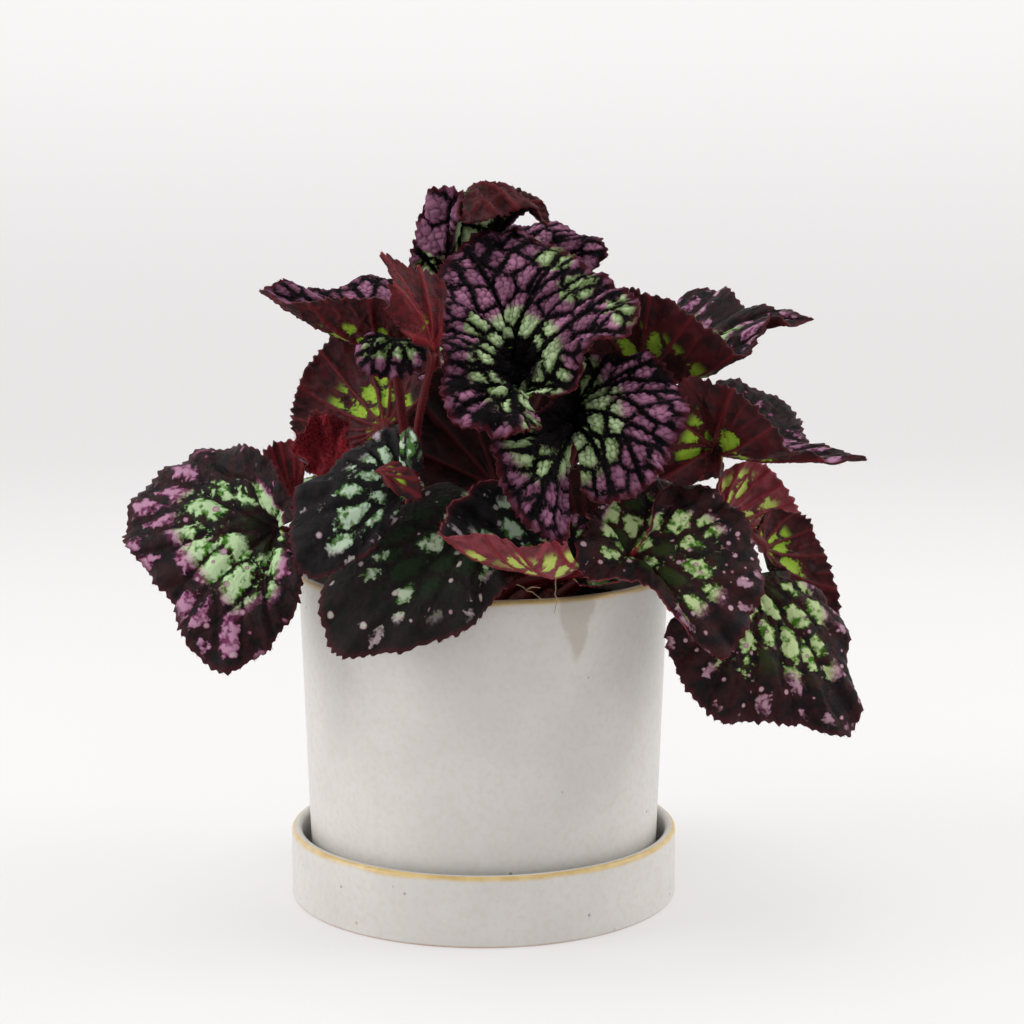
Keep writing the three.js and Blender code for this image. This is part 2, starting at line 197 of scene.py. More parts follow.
def finishWith(colour, roughness, height=None, strength=0.3, distance=0.0004, **more):
    feeds = {"Base Color": colour, "Roughness": roughness}
    feeds.update({key.replace("_", " "): value for key, value in more.items()})
    if height is not None:
        feeds["Normal"] = put("ShaderNodeBump", {"Strength": strength, "Distance": distance, "Height": height})[0]
    put("ShaderNodeOutputMaterial", {"Surface": put("ShaderNodeBsdfPrincipled", feeds)[0]})


# meshes
def net(rows, sides, start=None, end=None, first=0, flip=False, wrap=False):
    # faces of a round net of points, row after row; start and end are the points that close its ends,
    # flip turns the faces round, wrap joins the last row to the first
    here = first + (np.arange(rows + wrap) % rows)[:, None] * sides + np.arange(sides)
    beside = np.roll(here, -1, axis=1)
    way = -1 if flip else 1
    faces = [np.stack([here[:-1], *[beside[:-1], beside[1:], here[1:]][::way]], -1).reshape(-1, 4)]
    for tip, p, q in ((start, beside[0], here[0]), (end, here[-1], beside[-1])):
        if tip is not None:
            faces.append(np.stack([p, q, np.full(sides, tip)][::way], -1))
    return faces


def turnsOf(count):
    return np.linspace(0, 2 * math.pi, count, endpoint=False)


def runAlong(line):
    return np.concatenate([[0], np.cumsum(np.linalg.norm(np.diff(line, axis=0), axis=1))])


def tubeAround(line, side, other, thick, turn):
    ringWay = np.cos(turn)[None, :, None] * side[:, None] + np.sin(turn)[None, :, None] * other[:, None]
    return (line[:, None] + thick * ringWay).reshape(-1, 3)


def addMesh(name, points, faces, slots, finishes, marks=None, uv=None):
    # faces is a list of arrays, slots the material number of each of those arrays
    mesh = bpy.data.meshes.new(name)
    lists = []
    for f in faces:
        lists += f.tolist()
    mesh.from_pydata((np.asarray(points) * mm).tolist(), [], lists)
    number = np.concatenate([np.full(len(f), s, np.int32) for f, s in zip(faces, slots)])
    mesh.polygons.foreach_set("material_index", number)
    mesh.polygons.foreach_set("use_smooth", np.ones(len(number), bool))
    for f in finishes:
        mesh.materials.append(f)
    for key, values in (marks or {}).items():
        values = np.asarray(values, np.float32)
        if values.ndim == 2:
            mesh.attributes.new(key, "FLOAT_VECTOR", "POINT").data.foreach_set("vector", values.ravel())
        else:
            mesh.attributes.new(key, "FLOAT", "POINT").data.foreach_set("value", values)
    if uv is not None:
        mesh.uv_layers.new(name="OFBake").uv.foreach_set("vector", np.asarray(uv, np.float32).ravel())
    mesh.update()
    piece = bpy.data.objects.new(name, mesh)
    scene.collection.objects.link(piece)
    return piece


def place(piece, slotName, *nodes):
    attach(piece, "root")
    if nodes:
        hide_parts(*nodes)


def spikes(base, direction, length, radius, rng):
    # closed three-sided hairs: returns points and faces that start at 0
    n = len(base)
    side = unit(np.cross(direction, rng.normal(size=(n, 3))))
    other = np.cross(direction, side)
    length = np.asarray(length)[:, None]
    radius = np.broadcast_to(radius, n)[:, None]
    bend = side * length * rng.uniform(-0.25, 0.25, (n, 1))
    rings = []
    for k in range(3):
        turn = 2 * math.pi * k / 3
        rings.append(base + radius * (math.cos(turn) * side + math.sin(turn) * other))
    rings.append(base + direction * length + bend)
    points = np.stack(rings, 1).reshape(-1, 3)
    first = 4 * np.arange(n)[:, None]
    faces = [first + np.array(f) for f in ([0, 2, 1], [0, 1, 3], [1, 2, 3], [2, 0, 3])]
    return points, np.concatenate(faces)


# camera, light and ground
view = dict(distance=816, height=256.7, pitch=7.545, yaw=0.773, lens=75.1, sensor=36)


def setCamera():
    data = bpy.data.cameras.new("camera")
    data.lens = view["lens"]
    data.sensor_width = view["sensor"]
    data.clip_start = 0.05
    camera = bpy.data.objects.new("camera", data)
    camera.location = (0, -view["distance"] * mm, view["height"] * mm)
    camera.rotation_euler = (math.radians(90 - view["pitch"]), 0, -math.radians(view["yaw"]))
    scene.collection.objects.link(camera)
    scene.camera = camera


studio = dict(
    sky=(0.95, 0.97, 1.0),
    skyPower=0.45,
    lamps=[
        # where it stands, where it aims, size in metres, watts
        ((-1.4, -0.3, 0.9), (0, 0, 0.14), 0.9, 12.5),
        ((1.4, 0.15, 1.0), (0, 0, 0.14), 0.9, 12),
        ((-0.2, 0.15, 1.7), (0, 0, 0.1), 1.0, 10),
    ],
)


def lightStudio():
    world = bpy.data.worlds.new("studio")
    world.use_nodes = True
    sky = world.node_tree.nodes["Background"]
    sky.inputs["Color"].default_value = (*studio["sky"], 1)
    sky.inputs["Strength"].default_value = studio["skyPower"]
    scene.world = world
    for number, (stands, aims, size, watts) in enumerate(studio["lamps"]):
        data = bpy.data.lights.new(f"softbox_{number}", "AREA")
        data.size = size
        data.energy = watts
        lamp = bpy.data.objects.new(data.name, data)
        lamp.location = stands
        away = np.array(stands) - np.array(aims)
        lamp.rotation_euler = (math.atan2(math.hypot(away[0], away[1]), away[2]), 0,
                               math.atan2(away[1], away[0]) + math.pi / 2)
        scene.collection.objects.link(lamp)
    scene.view_settings.view_transform = "Standard"


groundSize = dict(flat=1.6, bendRadius=1.4, top=3.2, segments=96, glow=(0.46, 0.64))


def layGround():
    # a round white tent: flat where the saucer stands, curving up far away on every side
    g = groundSize
    line = [(0.3, 0.0), (0.8, 0.0), (g["flat"], 0.0)]
    for turn in np.linspace(0, math.pi / 2, 13)[1:]:
        line.append((g["flat"] + g["bendRadius"] * math.sin(turn), g["bendRadius"] * (1 - math.cos(turn))))
    line.append((g["flat"] + g["bendRadius"], g["top"]))
    turn = turnsOf(g["segments"])
    rings = [np.column_stack([np.cos(turn) * r, np.sin(turn) * r, np.full(len(turn), z)]) / mm for r, z in line]
    points = np.vstack([*rings, [0, 0, 0]])
    faces = net(len(line), len(turn), start=len(points) - 1, flip=True)
    paper = newFinish("white_paper")
    here = inSpace()
    colour = tint(grain(here, 1.5, 2), paint(160, 158, 158), paint(163, 161, 161))
    height = put("ShaderNodeSeparateXYZ", {0: here})[2]
    low, high = g["glow"]
    shine = tint(between(height, 0, 0.7), (low, low * 0.985, low * 0.98, 1), (high, high * 0.995, high * 0.99, 1))
    finishWith(colour, 0.85, grain(here, 900, 2), 0.08, Specular_IOR_Level=0.1, Emission_Strength=1.0,
               Emission_Color=shine)
    addMesh("ground", points, faces, [0, 0], [paper])


setCamera()
lightStudio()
layGround()
print("camera, light and ground set")

# finishes of the leaves
# upper side: an inner and an outer zone of light patches, each either parted by dark grooves (Edge) or loose (Size)
# Tones: a patch's darker and lighter tone; where grooves part the cells, the darker tone is painted shade on the
# pillows' flanks
maroonUpper = dict(
    dark=(paint(11, 6, 9), paint(40, 13, 17)), halo=paint(30, 44, 18),
    innerBand=(0.2, 0.66), innerTones=(paint(58, 112, 12), paint(182, 207, 160)), innerSize=0.66, innerBare=0.12,
    outerBand=(0.58, 0.97), outerTones=(paint(104, 40, 76), paint(172, 126, 152)), outerSize=0.4, outerBare=0.35,
    spots=0.6, spotScale=0.16, spotTones=(paint(146, 84, 116), paint(178, 150, 160)),
    knobs=0.7, shine=0.12, gloss=0.45,
)
upperLooks = dict(
    rosette=dict(
        dark=(paint(4, 3, 4), paint(15, 8, 12)), halo=paint(7, 4, 6),
        innerBand=(0.28, 0.51), innerTones=(paint(76, 94, 50), paint(188, 209, 162)), innerEdge=0.8, innerBare=0.0,
        outerBand=(0.47, 3.0), outerTones=(paint(50, 22, 36), paint(160, 108, 136)), outerEdge=0.55, outerBare=0.07,
        spots=0.0, knobs=1.6, shine=0.05, gloss=0.7,
    ),
    maroon=maroonUpper,
    blister=dict(
        maroonUpper, innerBand=(0.3, 0.7), innerSize=0.74, innerBare=0.06,
        outerBand=(0.6, 0.97), outerSize=0.5, outerBare=0.28,
    ),
    black=dict(
        maroonUpper, dark=(paint(8, 8, 10), paint(25, 19, 22)), halo=paint(18, 25, 18),
        innerBand=(0.2, 0.78), innerTones=(paint(64, 104, 44), paint(184, 205, 180)), innerSize=0.6, innerBare=0.2,
        outerBand=(0.72, 0.95), outerTones=(paint(116, 104, 106), paint(172, 156, 166)),
        outerSize=0.34, outerBare=0.5, spotTones=(paint(140, 110, 126), paint(168, 172, 158)), knobs=0.6,
    ),
    green=dict(
        maroonUpper, dark=(paint(11, 14, 9), paint(27, 17, 18)), halo=paint(22, 40, 18),
        innerBand=(0.25, 0.8), innerTones=(paint(62, 98, 42), paint(174, 188, 162)), innerSize=0.42, innerBare=0.45,
        outerBand=(0.72, 0.95), outerTones=(paint(120, 100, 104), paint(170, 156, 160)),
        outerSize=0.28, outerBare=0.6, spots=0.75, spotTones=(paint(150, 116, 128), paint(168, 172, 155)),
        knobs=0.6, gloss=0.48,
    ),
    lime=dict(
        maroonUpper, dark=(paint(13, 6, 9), paint(46, 15, 17)), halo=paint(40, 54, 20),
        innerBand=(0.14, 0.76), innerTones=(paint(62, 108, 12), paint(184, 202, 146)), innerSize=0.66, innerBare=0.24,
        outerBand=(0.68, 0.96), outerTones=(paint(104, 56, 78), paint(168, 134, 148)), outerSize=0.36, outerBare=0.45,
        spots=0.8, spotScale=0.24, spotTones=(paint(140, 84, 104), paint(176, 150, 160)),
    ),
)
# undersides: the lime patch tones are partly the leaf's own green, partly painted glow of light shining through the
# blade
underLooks = dict(
    dark=dict(base=(paint(18, 4, 6), paint(48, 8, 12)), rib=paint(66, 12, 17), gloss=0.6),
    maroon=dict(
        base=(paint(32, 6, 10), paint(68, 13, 18)), rib=paint(84, 16, 22),
        patch=(paint(78, 108, 14), paint(140, 172, 48)), patchBand=(0.08, 0.68),
        patchSize=0.69, patchBare=0.28, gloss=0.55,
    ),
    pink=dict(
        base=(paint(80, 26, 32), paint(130, 54, 62)), rib=paint(112, 20, 32),
        patch=(paint(124, 146, 40), paint(178, 192, 96)), patchBand=(0.1, 0.85),
        patchSize=0.66, patchBare=0.2, gloss=0.55,
    ),
    woolly=dict(
        base=(paint(46, 7, 12), paint(88, 14, 22)), rib=paint(108, 20, 28),
        patch=(paint(100, 104, 20), paint(140, 150, 50)), patchBand=(0.05, 0.4),
        patchSize=0.5, patchBare=0.3, gloss=0.6,
    ),
)


def bandOf(reach, start, stop, feather=0.07):
    half = feather / 2
    return between(reach, start - half, start + half) * between(reach, stop - half, stop + half, 1.0, 0.0)


def upperFinish(name, look):
    finish = newFinish(name)
    flat = carried("flat", 1)
    words = ("reach", "groove", "core", "chance", "rib", "pale", "ring", "lobe")
    reach, groove, core, chance, rib, pale, ring, lobe = [carried(word) for word in words]
    broad, mid, fine = grain(flat, 0.22, 2), grain(flat, 0.9, 3), grain(flat, 3.2, 3, 0.6)
    raggedMid, raggedFine = (mid - 0.5) * 2.0, (fine - 0.5) * 0.9
    ragged = groove + (raggedMid + raggedFine)
    coarse = grain(flat, 0.33, 2) - 0.5
    inCore = core + (raggedMid + raggedFine) * 0.26 + coarse * 1.3
    # the zone a point lies in, shifted a little from cell to cell
    zone = ring + ((chance - 0.5) * 0.12 + raggedMid * 0.05)
    other, third = calc("FRACT", chance * 7.31), calc("FRACT", chance * 23.7)
    layers = []
    for part in ("inner", "outer"):
        if part + "Edge" in look:  # cells parted by dark grooves
            edge = look[part + "Edge"]
            filled = between(ragged, edge, edge + 0.28)
            # painted shade: the patch runs from its darker tone low on the pillow's flanks up to its lighter tone on
            # top, and darkens in the valleys between its small lobes; the darker tone also varies at random from cell
            # to cell
            rise = between(groove + fine * 1.4, edge + 0.4, edge + 2.3) * between(third, 0, 1, 0.6, 1.0)
            rise = rise * between(grain(flat, 0.07, 2), 0.35, 0.6, 0.62, 1.08) * between(lobe, 0.05, 0.6, 0.35, 1.0)
        else:  # loose blots in the middle of the cells
            depth = between(third, 0, 1, 0.75, 1.25) * look[part + "Size"] - inCore
            filled = between(depth, -0.02, 0.06)
            rise = between(depth + (fine + mid) * 0.3 - coarse * 1.2, 0.25, 0.75)
        filled = filled * bandOf(zone, *look[part + "Band"])
        bare = look[part + "Bare"]
        if bare > 0:
            filled = filled * between(other, bare - 0.01, bare + 0.01)
        layers.append((filled, tint(rise, *look[part + "Tones"])))
    (inner, innerTone), (outer, outerTone) = layers
    near = between(inCore, 0.4, 0.85, 0.8, 0.0) * bandOf(reach, 0.15, 0.65, 0.2)
    colour = tint(near, tint(between(broad, 0.35, 0.65), *look["dark"]), look["halo"])
    # one patch may turn from the inner to the outer tone
    start = look["outerBand"][0]
    patchTone = tint(between(zone, start - 0.03, start + 0.09), innerTone, outerTone)
    lit = pale * between(ragged, 0.5, 0.8)
    covered = calc("MAXIMUM", calc("MAXIMUM", inner, outer), lit)
    colour = tint(covered, colour, tint(lit, patchTone, innerTone))
    if look["spots"] > 0:
        away, dotColour = dotted(flat, look["spotScale"])
        luck, size = put("ShaderNodeSeparateColor", {0: dotColour})[:2]
        inside = between(size, 0, 1, 0.1, 0.27) - (away + raggedFine * 0.1)
        scarce = 1 - look["spots"]
        dot = between(inside, -0.01, 0.03) * between(luck, scarce - 0.01, scarce + 0.01)
        dot = dot * bandOf(reach, 0.3, 0.97) * between(rib, 0.6, 1.2)
        colour = tint(dot, colour, tint(between(inside, 0.02, 0.1), *look["spotTones"]))
    # wine-red hem
    colour = tint(between(reach, 0.955, 0.99) * 0.6, colour, paint(66, 18, 28))
    gloss = between(covered, 0, 1, look["gloss"] - 0.06, look["gloss"] + 0.1)
    skin, knobs = dotted(flat, 2.6)[0], dotted(flat, 0.62, "SMOOTH_F1")[0]
    relief = skin * 0.3 + fine * 0.6 - knobs * look["knobs"]
    finishWith(colour, gloss, relief, 0.7, 0.0007, Specular_IOR_Level=look["shine"])
    return finish


def underFinish(name, look):
    finish = newFinish(name)
    flat = carried("flat", 1)
    reach, groove, core, chance, rib = [carried(word) for word in ("reach", "groove", "core", "chance", "rib")]
    broad, mid, fine = grain(flat, 0.2, 2), grain(flat, 0.8, 3), grain(flat, 3.0, 3, 0.6)
    colour = tint(between(broad, 0.3, 0.7), *look["base"])
    if "patch" in look:  # light windows between the ribs
        # the windows' lime is partly the leaf's own green, partly painted glow of light shining through the blade
        depth = look["patchSize"] - (core + (mid - 0.5) * 0.8 + (broad - 0.5) * 1.2)
        patch = between(depth, -0.04, 0.16) * bandOf(reach, *look["patchBand"], 0.14)
        other, bare = calc("FRACT", chance * 7.31), look["patchBare"]
        patch = patch * between(other, bare - 0.01, bare + 0.01)
        colour = tint(patch, colour, tint(between(depth + fine * 0.4, 0.1, 0.6), *look["patch"]))
    line = calc("MAXIMUM", between(rib, 0.3, 1.1, 1.0, 0.0), between(groove, 0.1, 0.6, 0.6, 0.0))
    colour = tint(line, colour, look["rib"])
    colour = tint(between(reach, 0.02, 0.2, 0.6, 0.0), colour, look["rib"])
    finishWith(colour, look["gloss"], fine + line, 0.4, 0.0003, Specular_IOR_Level=0.15, Sheen_Weight=0.03)
    return finish


def hairFinish():
    finish = newFinish("red_hair")
    colour = tint(grain(inSpace(), 160, 2), paint(84, 10, 18), paint(178, 36, 50))
    finishWith(colour, 0.55, Specular_IOR_Level=0.3)
    return finish


uppers = {name: upperFinish(name + "_upper", look) for name, look in upperLooks.items()}
unders = {name: underFinish(name + "_under", look) for name, look in underLooks.items()}
redHair = hairFinish()
print("leaf finishes mixed")

# how a blade grows: the settings that a leaf's own dictionary may change
bladeRule = dict(
    thickness=0.7,
    spacing=0.85, quickWider=2.2,  # between mesh points
    columns=(40, 460), rows=(18, 110), rimSamples=900,  # fewest and most mesh points
    ribs=8,  # main veins from the heart
    cellNear=10.5, cellFar=5.0, cellStretch=1.4,  # size of the pillows near the heart and at the margin
    pillow=2.9, pillowEdge=0.95, lobe=1.15, lobeSize=2.7,  # how far pillows rise, and the small lobes on them
    sideLift=0.35,  # cross grooves are this much shallower than those along the veins
    ruffle=1.4, ruffleWave=21,
    tooth=1.3, toothWave=3.4,
    ribHeight=0.55, ribWidth=0.9, veinHeight=0.22, veinWidth=0.5,  # ridges on the underside
    settle=0.45,  # share of the pillows' height that lies below the blade's own surface
    hairs=1.0, hairsPerMm=1.6, hairLength=1.1, hairRadius=0.09, hairSpread=0.55, woolSpread=0.7, woolShortest=0.7,
)
calmRule = dict(
    cellNear=8.5, cellFar=6.5, cellStretch=1.8, pillow=1.7, pillowEdge=2.0, lobe=0.35, sideLift=1.2, ribs=9,
)
# sizes in mm of the noises that make a blade uneven
bladeNoise = dict(toothDrift=11, toothSize=4.1, nibble=1.7, hemDrift=30, hemFold=7, skin=2.1, paleEdge=2.5)
# where the two sides and the hairs of a blade lie in its flat map
flatMap = dict(
    upper=(0.25, 0.51), under=(0.75, 0.51), size=(0.245, 0.48), rimSize=(0.248, 0.486), margin=1.03, widest=352,
    hair=[[0.001, 0.002], [0.003, 0.002], [0.002, 0.012], [0.004, 0.018]],
)


def bladeFrame(leaf):
    # middle and end of each vein from the heart, as in the solids
    centre = np.array(leaf["heart"], float)
    rows = leaf["margin"]
    ends = np.array([row[:3] for row in rows], float)
    out = ends - centre
    at = np.arange(len(out))
    before, after = np.maximum(at - 1, 0), np.minimum(at + 1, len(out) - 1)
    raw = unit(np.cross(out[before], out[after]))
    normals = unit(2 * raw + (raw[before] + raw[after]))
    arch = np.array([row[3] for row in rows], float)
    pull = np.array([row[4:7] if len(row) > 4 else (0, 0, 0) for row in rows], float)
    middles = (ends + centre) / 2 + normals * 2 * arch[:, None] + pull
    up = unit(np.cross(middles[:-1] - centre, middles[1:] - centre).sum(0))
    return centre, middles, ends, up


def pillowSeeds(rng, turns, lengths, ribTurns, rule):
    # rows of cells between each two main veins, one more cell across where the sector is wide
    seeds = []
    borders = np.concatenate([[0], ribTurns, [turns[-1]]])
    farthest = lengths.max()
    for row, (low, high) in enumerate(zip(borders[:-1], borders[1:])):
        r = rule["cellNear"] * rng.uniform(0.5, 0.8)
        while r < farthest + rule["cellFar"]:
            here = np.interp((low + high) / 2, turns, lengths)
            size = np.interp(r / here, [0.25, 0.9], [rule["cellNear"], rule["cellFar"]])
            count = max(1, int(round((high - low) * r / size)))
            for k in range(count):
                turn = low + (high - low) * (k + 0.5 + rng.uniform(-0.2, 0.2)) / count
                stagger = (0.5 if (k + row) % 2 else 0) + rng.uniform(-0.22, 0.22)
                seeds.append((turn, r + size * rule["cellStretch"] * stagger))
            r += size * rule["cellStretch"]
    return np.array(seeds)


def pillowField(turn, r, seeds, rule, rng):
    # distance to the nearest groove and a number for the cell, for every point of the blade
    luck = rng.random(len(seeds))
    edge, core, which = np.empty(len(turn)), np.empty(len(turn)), np.empty(len(turn), int)
    batch = 6000  # points at a time, to save memory
    for i in range(0, len(turn), batch):
        part = slice(i, i + batch)
        t, q = turn[part, None], r[part, None]
        rise = (q - seeds[None, :, 1]) / rule["cellStretch"]
        across = np.sqrt(np.maximum(q * seeds[None, :, 1], 0)) * (t - seeds[None, :, 0])
        d = np.hypot(rise, across)
        order = np.argpartition(d, 1, axis=1)[:, :2]
        pair = np.take_along_axis(d, order, 1)
        flip = pair[:, 0] > pair[:, 1]
        first = np.where(flip, order[:, 1], order[:, 0])
        second = np.where(flip, order[:, 0], order[:, 1])
        gap = np.abs(pair[:, 0] - pair[:, 1]) / 2
        radial = np.abs(seeds[first, 1] - seeds[second, 1]) / rule["cellStretch"]
        width = np.sqrt(np.maximum(seeds[first, 1] * seeds[second, 1], 0))
        width = width * np.abs(seeds[first, 0] - seeds[second, 0])
        cross = radial / np.maximum(np.hypot(radial, width), 1e-6)
        edge[part] = gap + rule["sideLift"] * cross**2
        core[part] = pair.min(1) / np.maximum(pair.max(1), 1e-6)
        which[part] = first
    return edge, core, luck[which]


def growLeaf(name, leaf, slotName):
    calm = leaf.get("calm", leaf["upper"] != "rosette")
    rule = {**bladeRule, **(calmRule if calm else {}), **leaf.get("rule", {})}
    seed = leaf["seed"]
    rng = np.random.default_rng(seed)
    centre, middles, ends, up = bladeFrame(leaf)
    spacing = rule["spacing"] * 1

    # columns evenly spaced along the margin
    fine = np.linspace(0, 1, rule["rimSamples"])
    run = runAlong(smoothCurve(ends, fine))
    columns = int(np.clip(run[-1] / spacing, *rule["columns"]))
    around = np.linspace(0, run[-1], columns)
    share = np.interp(around, run, fine)
    end, middle = smoothCurve(ends, share), smoothCurve(middles, share)
    length = sum(np.linalg.norm(v, axis=1) for v in (middle - centre, end - middle, end - centre)) / 2
    heading = unit(0.5 * (middle - centre) + 0.5 * (end - centre))
    steps = np.arccos(np.clip((heading[1:] * heading[:-1]).sum(1), -1, 1))
    turns = np.concatenate([[0], np.cumsum(steps)])

    def alongRim(noise, more):
        return softNoise(around[:, None], bladeNoise[noise], seed + more)

    # teeth on the margin, each with its own size
    wave = around / rule["toothWave"] + 0.8 * alongRim("toothDrift", 0)
    tooth = (1 - np.abs(wave % 1 * 2 - 1) ** 0.8) * (0.4 + alongRim("toothSize", 3)) + 0.9 * alongRim("nibble", 5)
    tooth = (tooth - 0.8) * rule["tooth"]

    rows = int(np.clip(length.mean() / spacing, *rule["rows"]))
    rho = np.arange(1, rows + 1) / rows
    t = (rho * (1 + (tooth / np.maximum(length, 8))[:, None] * rho**7))[..., None]
    grid = (1 - t) ** 2 * centre + 2 * t * (1 - t) * middle[:, None] + t**2 * end[:, None]

    def normalsOf(points):
        return unit(np.cross(np.gradient(points, axis=1), np.gradient(points, axis=0)))

    # ruffled hem
    phase = around / rule["ruffleWave"] * 2 * math.pi + 4 * alongRim("hemDrift", 9)
    hem = rule["ruffle"] * np.sin(phase)[:, None] * rho**3
    hem += (alongRim("hemFold", 2)[:, None] - 0.5) * 1.6 * rule["ruffle"] * rho**5
    grid = grid + normalsOf(grid) * hem[..., None]
    normals = normalsOf(grid)

    # pillows between the veins
    r = (length[:, None] * rho).ravel()
    turn, reach = np.repeat(turns, rows), np.tile(rho, columns)
    flat = np.stack([r * np.cos(turn), r * np.sin(turn)], 1)
    ribs = rule["ribs"]
    ribTurns = (np.arange(ribs) + 0.5 + rng.uniform(-0.12, 0.12, ribs)) / ribs * turns[-1]
    seeds = pillowSeeds(rng, turns, length, ribTurns, rule)
    edge, core, luck = pillowField(turn, r, seeds, rule, rng)
    rib = np.abs(turn[:, None] - ribTurns[None, :]).min(1) * r
    noiseAt = flat + 500  # well away from the noise's own zero
    lobes = 1 - np.exp(-bumpCells(noiseAt, rule["lobeSize"], seed + 11) / 0.55)
    border = np.minimum(edge, rib * 0.9)
    groove = np.maximum(border + 0.7 * (lobes - 0.6), 0)
    cellSize = np.interp(reach, [0.25, 0.9], [1.0, rule["cellFar"] / rule["cellNear"]])
    dome = 1 - np.exp(-((border / (rule["pillowEdge"] * cellSize)) ** 1.25))
    height = rule["pillow"] * cellSize * dome * (0.75 + 0.5 * luck) + rule["lobe"] * lobes
    height += 0.3 * (softNoise(noiseAt, bladeNoise["skin"], seed + 13) - 0.5)
    height *= easeBetween(1.5, 9, r) * (1 - 0.5 * easeBetween(0.93, 1, reach))
    height = height.reshape(columns, rows) - rule["pillow"] * rule["settle"]

    half = rule["thickness"] / 2
    ridge = rule["ribHeight"] * np.exp(-((rib / rule["ribWidth"]) ** 2)) * (1.1 - reach)
    ridge += rule["veinHeight"] * np.exp(-((edge / rule["veinWidth"]) ** 2))
    ridge = (ridge * easeBetween(0.5, 4, r)).reshape(columns, rows)
    upper = grid + normals * (height + half)[..., None]
    lower = grid + normals * (height - half - ridge)[..., None]
    heartUp = centre + up * (half - rule["pillow"] * 0.3)
    heartDown = centre - up * (half + rule["pillow"] * 0.3 + 0.4)

    layer = columns * rows + 1
    points = np.vstack([heartUp, upper.reshape(-1, 3), heartDown, lower.reshape(-1, 3)])
    at = 1 + np.arange(columns)[:, None] * rows + np.arange(rows)
    quads = np.stack([at[:-1, :-1], at[:-1, 1:], at[1:, 1:], at[1:, :-1]], -1).reshape(-1, 4)
    fan = np.stack([np.zeros(columns - 1, int), at[:-1, 0], at[1:, 0]], -1)
    outline = np.concatenate([[0], at[0], at[1:, -1], at[-1, -2::-1]])
    following = np.roll(outline, -1)
    rimFaces = np.stack([outline + layer, following + layer, following, outline], -1)

    # places where the light tone breaks through, and the light ring about a funnel's mouth as seen from the front
    pale, ring = np.zeros(columns * rows), reach
    for x, y, z, size in leaf.get("pale", []):
        away = np.linalg.norm(grid.reshape(-1, 3) - [x, y, z], axis=1)
        away = away + 3 * (softNoise(noiseAt, bladeNoise["paleEdge"], 61) - 0.5)
        pale = np.maximum(pale, 1 - easeBetween(size - 0.7, size + 0.7, away))
    if "ring" in leaf:
        ringX, ringZ, size = leaf["ring"]
        ring = np.minimum(np.hypot(grid[..., 0] - ringX, grid[..., 2] - ringZ).ravel() / size, reach * 1.5)

    # hairs along the margin, and on the underside where the leaf is a woolly one
    pick = rng.random(int(run[-1] * rule["hairsPerMm"] * rule["hairs"] * hairShare)) * (columns - 1)
    i = pick.astype(int)
    rimMid = (upper[:, -1] + lower[:, -1]) / 2
    part = (pick - i)[:, None]
    base = rimMid[i] * (1 - part) + rimMid[i + 1] * part
    way = unit(unit(rimMid - grid[:, -3])[i] + rule["hairSpread"] * rng.normal(size=(len(i), 3)))
    size = rule["hairLength"] * rng.uniform(0.4, 1.3, len(i))
    bases, ways, sizes, thick = [base - way * 0.15], [way], [size], np.full(len(i), rule["hairRadius"])
    if leaf.get("wool"):
        n = int(leaf["wool"] * hairShare)
        ci, ri = rng.integers(1, columns - 1, n), rng.integers(1, rows - 1, n)
        bases.append(lower[ci, ri])
        ways.append(unit(-normals[ci, ri] + rule["woolSpread"] * rng.normal(size=(n, 3))))
        sizes.append(rng.uniform(rule["woolShortest"], leaf.get("woolLength", 1.8), n))
        thick = np.concatenate([thick, np.full(n, leaf.get("woolRadius", rule["hairRadius"]))])
    hairPoints, hairFaces = spikes(np.vstack(bases), np.vstack(ways), np.concatenate(sizes), thick, rng)
    extra = len(hairPoints)

    # what the finishes read at each point: heart, then the blade, for both sides, then nothing for the hairs
    marks = {}
    for key, values, atHeart in (("reach", reach, 0), ("groove", groove, 0), ("chance", luck, 0.5), ("rib", rib, 0),
                                 ("core", core, 1), ("pale", pale, 0), ("ring", ring, 0), ("lobe", lobes, 0)):
        marks[key] = np.concatenate([[atHeart], values, [atHeart], values, np.zeros(extra)])
    heartFlat = np.vstack([[0, 0], flat])
    flat3 = np.column_stack([np.vstack([heartFlat, heartFlat]), np.full(layer * 2, seed * 13.0)])
    marks["flat"] = np.vstack([flat3, np.zeros((extra, 3))])

    span = min(1, math.radians(flatMap["widest"]) / turns[-1])
    spread = np.stack([r * np.cos(turn * span), r * np.sin(turn * span)], 1)
    spread = np.vstack([[0, 0], spread / (np.abs(flat).max() * flatMap["margin"])])
    topMap, lowMap = spread * flatMap["size"] + flatMap["upper"], spread * flatMap["size"] + flatMap["under"]
    edgeMap = spread * flatMap["rimSize"] + flatMap["under"]
    hairMap = np.tile(flatMap["hair"], (extra // 4, 1))
    uv = [topMap[quads], topMap[fan], lowMap[quads[:, ::-1]], lowMap[fan[:, ::-1]],
          np.stack([lowMap[outline], lowMap[following], edgeMap[following], edgeMap[outline]], 1), hairMap[hairFaces]]
    uv = np.concatenate([part.reshape(-1, 2) for part in uv])
    faces = [quads, fan, quads[:, ::-1] + layer, fan[:, ::-1] + layer, rimFaces, hairFaces + len(points)]
    finishes = [uppers[leaf["upper"]], unders[leaf.get("under", "maroon")], redHair]
    piece = addMesh(name, np.vstack([points, hairPoints]), faces, [0, 0, 1, 1, 1, 2], finishes, marks, uv)
    place(piece, slotName, *([] if leaf.get("scrap") else [name]))


